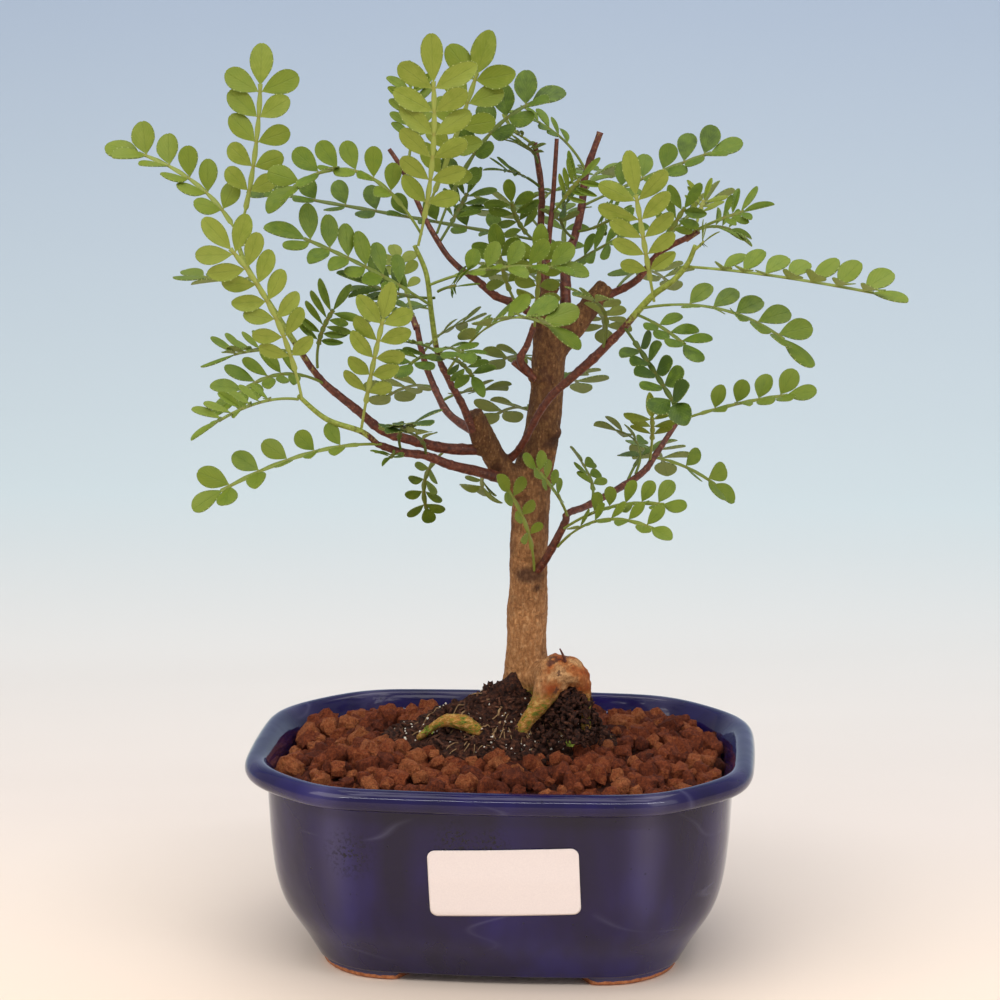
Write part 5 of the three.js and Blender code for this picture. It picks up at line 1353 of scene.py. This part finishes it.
def leaflet(droop, cup, sweep, widest):
    """One leaflet: along X from its foot, 1 long and 1 wide, upper side up."""
    bm = new_mesh()
    made = bmesh.ops.create_grid(bm, x_segments=LEAF_COLUMNS, y_segments=2, size=1.0, calc_uvs=True)
    for vert in made["verts"]:
        even = (vert.co.x + 1) / 2
        u = 0.5 - 0.5 * math.cos(math.pi * even)
        v = vert.co.y
        half = leaflet_half(u, widest)
        notch = 0.012 * (1 - abs(v)) if u > 0.99 else 0
        lift = cup * 0.22 * abs(v) * half - droop * u * u
        vert.co = Vector((u - notch, v * half + sweep * 0.3 * u * u, lift))
    bmesh.ops.solidify(bm, geom=list(bm.faces), thickness=LEAF_THICKNESS)
    face_outwards(bm, list(bm.verts))
    bm.normal_update()
    paint(bm, list(bm.verts), lambda vert: (0, 0, 1 if vert.normal.z < 0 else 0, 1))
    return kept_mesh(bm)


LEAFLETS = [leaflet(*kind) for kind in LEAF_KINDS]


def frond_curve(foot, middle, tip):
    foot, middle, tip = (Vector(p) for p in (foot, middle, tip))
    bend = 2 * middle - (foot + tip) / 2

    def place(t):
        return foot * (1 - t) ** 2 + bend * 2 * t * (1 - t) + tip * t * t

    def forward(t):
        return ((bend - foot) * (1 - t) + (tip - bend) * t).normalized()

    samples = [place(i / 40) for i in range(41)]
    length = sum((b - a).length for a, b in zip(samples, samples[1:]))
    return place, forward, length


def frond_frame(curve, t, look):
    place, forward, _ = curve
    ahead = forward(t)
    across = ahead.cross(Vector(look)).normalized()
    return place(t), ahead, across, across.cross(ahead)


def leaf_matrix(foot, axis, side, normal, length, width):
    """Sets a unit leaflet at its foot, along its axis."""
    turn = Matrix((axis * length, side * width, normal * length)).transposed().to_4x4()
    return Matrix.Translation(foot) @ turn


def lay_frond(row, seed):
    """A frond's curve, where its stalk is winged and jointed, and its leaflets' matrices and shade."""
    # The tone is partly the frond's own colour, partly painted light and shade.
    foot, middle, tip, look, pairs, length, fold_degrees, tone = row
    curve = frond_curve(foot, middle, tip)
    total = curve[2]
    end = 1 - TIP_LEAFLET * length / total
    first = min(0.3, BARE_FOOT / total)
    spacing = min((end - first) / pairs, WIDEST_SPACING * length / total)
    width = min(LEAFLET_WIDTH * length, 0.93 * spacing * total)
    fold = math.radians(fold_degrees)
    leaves = []
    joints = []
    for pair in range(pairs):
        t = end - (pairs - pair - 0.7) * spacing
        joints.append(t)
        place, ahead, across, up = frond_frame(curve, t, look)
        size = mix(LOWEST_PAIR, 1, pair / (pairs - 1))
        for hand in (-1, 1):
            wobble = [chance(seed + 3 * pair, hand + k) - 0.5 for k in (2, 5, 8, 11)]
            angle = fold + FOLD_SPREAD * wobble[0]
            lean = LEAFLET_LEAN + LEAN_SPREAD * wobble[1]
            out = across * hand * math.cos(angle) + up * math.sin(angle)
            axis = out * math.sin(lean) + ahead * math.cos(lean)
            side = (ahead * math.sin(lean) - out * math.cos(lean)) * hand
            normal = axis.cross(side)
            twist = Matrix.Rotation(TWIST_SPREAD * wobble[2], 3, axis)
            side, normal = twist @ side, twist @ normal
            reach = length * size * (1 + LENGTH_SPREAD * wobble[3])
            start = place + out * LEAFLET_START
            leaves.append((leaf_matrix(start, axis, side, normal, reach, width * size * 1.04), tone))
    place, ahead, across, up = frond_frame(curve, end, look)
    last = leaf_matrix(place - ahead * 0.3, ahead, up.cross(ahead), up, TIP_LEAFLET * length, width * 1.05)
    leaves.append((last, tone))
    return curve, look, first, end, joints, spacing, leaves


def rachis(bm, curve, look, first, end, joints, spacing, tone):
    """The leaf stalk: round at its foot, winged between the pairs, pinched at each pair."""
    steps = 12 + 8 * len(joints)
    frames = [frond_frame(curve, end * i / steps, look) for i in range(steps + 1)]

    def pinch(t):
        if t < first:
            return 0.0
        nearest = min(abs(t - joint) for joint in joints)
        return min(1.0, nearest / (0.5 * spacing))

    def place(u, v):
        spot, _, across, up = frames[round(v * steps)]
        angle = TURN * u
        wing = mix(STALK_HALF, WING_HALF, pinch(v * end) ** 0.6)
        thick = mix(STALK_HALF, WING_THICK, pinch(v * end))
        return spot + across * wing * math.cos(angle) + up * thick * math.sin(angle)

    verts = closed_tube(bm, 8, steps, place)
    layer = bm.verts.layers.float_color["tone"]
    joint_places = [frond_frame(curve, joint, look)[0] for joint in joints]
    for vert in verts:
        near = min((vert.co - spot).length for spot in joint_places)
        vert[layer] = (tone, max(0.0, 1 - near / JOINT_REACH), 0, 1)
    return verts


def grow_fronds(name, rows, stem_rows, group):
    """All the fronds of one node, with their green shoot where they have one."""
    bm = new_mesh()
    looks = [LEAF, STALK, TWIG]
    if stem_rows:
        shoot = stem(bm, stem_rows, 10, (len(stem_rows) - 1) * 8)
        near = point(stem_rows[0])
        youth = 0.1 if name in CUT_SHOOTS else 1.0
        paint(bm, shoot, lambda vert: (0.5, youth * min(1.0, 0.25 + (vert.co - near).length / 22), 0, 1))
        give_material(shoot, looks.index(TWIG))
    laid = []
    for i, row in enumerate(rows):
        curve, look, first, end, joints, spacing, leaves = lay_frond(row, 31 * group + 7 * i)
        verts = rachis(bm, curve, look, first, end, joints, spacing, row[-1])
        give_material(verts, looks.index(STALK))
        laid.extend(leaves)
    spots = []
    for i, (matrix, tone) in enumerate(laid):
        kind = int(chance(i + 5, group + 2) * len(LEAFLETS)) % len(LEAFLETS)
        # A leaflet takes its frond's tone, partly painted light and shade, with a random spread.
        shade = tone + SHADE_SPREAD * (chance(i + 1, group + 9) - 0.5)
        spots.append((kind, matrix, min(1, max(0, shade))))
    scattered(bm, LEAFLETS, spots)
    piece = finish_piece(bm, name + "_leaves", looks, [name])
    piece.data.set_sharp_from_angle(angle=RIM_ANGLE)


# Moss

def make_moss():
    """Short moss shoots in the damp places on the roots and at the trunk's foot."""
    shoot = new_mesh()
    bmesh.ops.create_cone(shoot, cap_ends=True, segments=4, radius1=0.16, radius2=0.03, depth=1.0)
    bmesh.ops.translate(shoot, vec=(0, 0, 0.45), verts=shoot.verts)
    kinds = [kept_mesh(shoot)]
    bm = new_mesh()
    grown = random.Random(37)
    spots = []
    for x, y, z, spread, count in MOSS_CUSHIONS:
        for _ in range(count):
            dx, dy = grown.gauss(0, spread), grown.gauss(0, spread)
            drop = -0.12 * (dx * dx + dy * dy) / max(spread, 0.1)
            tilt = Matrix.Rotation(grown.gauss(0, 0.45), 4, "X")
            tilt = tilt @ Matrix.Rotation(grown.gauss(0, 0.45), 4, "Y")
            size = Matrix.Diagonal((1.4, 1.4, grown.uniform(0.8, 1.9), 1))
            spots.append((0, Matrix.Translation((x + dx, y + dy, z + drop)) @ tilt @ size, 0.5))
    scattered(bm, kinds, spots)
    finish_piece(bm, "moss_tufts", [MOSS], [], smooth=False)


# Stage

# The floor in metres: half its width, its front edge, how far back it runs, the share of that
# from which it bends up, how high it gets and how much the bend takes off its run.
FLOOR_HALF = 3
FLOOR_FRONT = -2.2
FLOOR_RUN = 5
FLOOR_FLAT = 0.55
FLOOR_RISE = 2.4
FLOOR_DRAWN_IN = 0.6


def make_stage():
    """A pale floor that sweeps up behind, soft lamps and the camera."""
    bm = bmesh.new()
    made = bmesh.ops.create_grid(bm, x_segments=2, y_segments=40, size=1.0)["verts"]
    for vert in made:
        run = (vert.co.y + 1) / 2
        bend = max(0.0, run - FLOOR_FLAT) / (1 - FLOOR_FLAT)
        depth = FLOOR_FRONT + run * FLOOR_RUN - FLOOR_DRAWN_IN * bend ** 2
        vert.co = Vector((vert.co.x * FLOOR_HALF, depth, FLOOR_RISE * bend ** 2.2))
    mesh = kept_mesh(bm, "floor_sweep")
    mesh.shade_smooth()
    mesh.materials.append(floor_paper())
    floor = set_down("floor_sweep", mesh)
    for name, place, size, watts, shade in LAMPS:
        light = bpy.data.lights.new(name, "AREA")
        light.shape = "RECTANGLE"
        light.size, light.size_y = size
        light.energy = watts
        light.color = linear(shade)[:3]
        lamp = set_down(name, light)
        lamp.location = place
        lamp.rotation_euler = (LAMP_AIM - Vector(place)).to_track_quat("-Z", "Y").to_euler()
    world = bpy.data.worlds.new("sky_light")
    world.use_nodes = True
    background = world.node_tree.nodes["Background"]
    background.inputs["Color"].default_value = linear("#f1f1f0")
    background.inputs["Strength"].default_value = SKY_STRENGTH
    bpy.context.scene.world = world
    camera = bpy.data.cameras.new("camera")
    camera.lens = CAMERA_LENS
    camera.sensor_width = CAMERA_SENSOR
    holder = set_down("camera", camera)
    reach = CAMERA_DISTANCE * MM
    height = CAMERA_AIM_HEIGHT * MM + reach * math.tan(CAMERA_RISE)
    holder.location = (reach * math.sin(CAMERA_TURN), -reach * math.cos(CAMERA_TURN), height)
    holder.rotation_euler = (math.pi / 2 - CAMERA_PITCH, 0, CAMERA_TURN)
    bpy.context.scene.camera = holder
    bpy.context.scene.view_settings.view_transform = "Standard"


# Knots and old pruning scars on the wood: x, y, z and radius.
SCARS = [(7, 0.6, 109, 2.4), (15, 2, 152, 2.6), (14, 3, 146, 2.2), (5, 2, 140, 3), (12, 2.4, 168, 2.2)]

# Short bare spurs on the trunk and on the round root: rows of x, y, z and radius.
SPURS = [
    [(10, 2, 167.5, 1.2), (7, 0, 170, 1.0), (3.8, -1, 172.7, 0.9)],
    [(19.5, -8.5, 87, 0.5), (18.9, -9, 89, 0.35), (18, -9.4, 91, 0.2)],
]

# Prickles on the twigs: x, y, z and which way they lean.
PRICKLES = [
    (26.5, -27.5, 177, 1), (-22, -16, 152.5, -1), (-12, -17, 168, -1), (19, -7, 129.5, 1), (20, 18, 206, 1),
]

# Peat that hangs under the round root: x, y, z and radius, downwards.
HANGING_PEAT = [(20, -4.5, 81.5, 3.4), (20.5, -5.5, 77, 4.4), (21, -6, 71, 5), (21, -7, 65, 6)]

# Moss: the middle of each cushion, how far it spreads and its shoots.
MOSS_CUSHIONS = [
    (13, 1, 83, 1.3, 70),
    (11, -8, 75, 0.8, 24),
    (21.7, -17, 64.5, 0.5, 26),
    (-20, -12, 66.5, 0.9, 20),
]

# Lamps: name, place and size in metres, watts and colour.
LAMP_AIM = Vector((0, 0, 0.13))
SKY_STRENGTH = 0.5
LAMPS = [
    ("window_light", (-1.1, -0.9, 1.3), (1.2, 1.0), 10.5, "#fff6ec"),
    ("fill_light", (1.3, -1.0, 0.8), (1.0, 1.2), 5.5, "#f8f4fa"),
    ("top_light", (0.1, 0.0, 1.5), (1.4, 1.2), 11.5, "#fffaf6"),
    ("strip_light", (0.2, -1.0, 1.0), (2.0, 0.035), 7, "#ffffff"),
]

make_stage()
make_pot()
make_label()
make_granules()
make_root_ball()
make_trunk()
make_twigs()
make_moss()
leafy = list(SHOOTS.items()) + [(name, {"fronds": [frond]}) for name, frond in FRONDS.items()]
for group, (name, shoot) in enumerate(leafy):
    grow_fronds(name, shoot["fronds"], shoot.get("stem"), group)
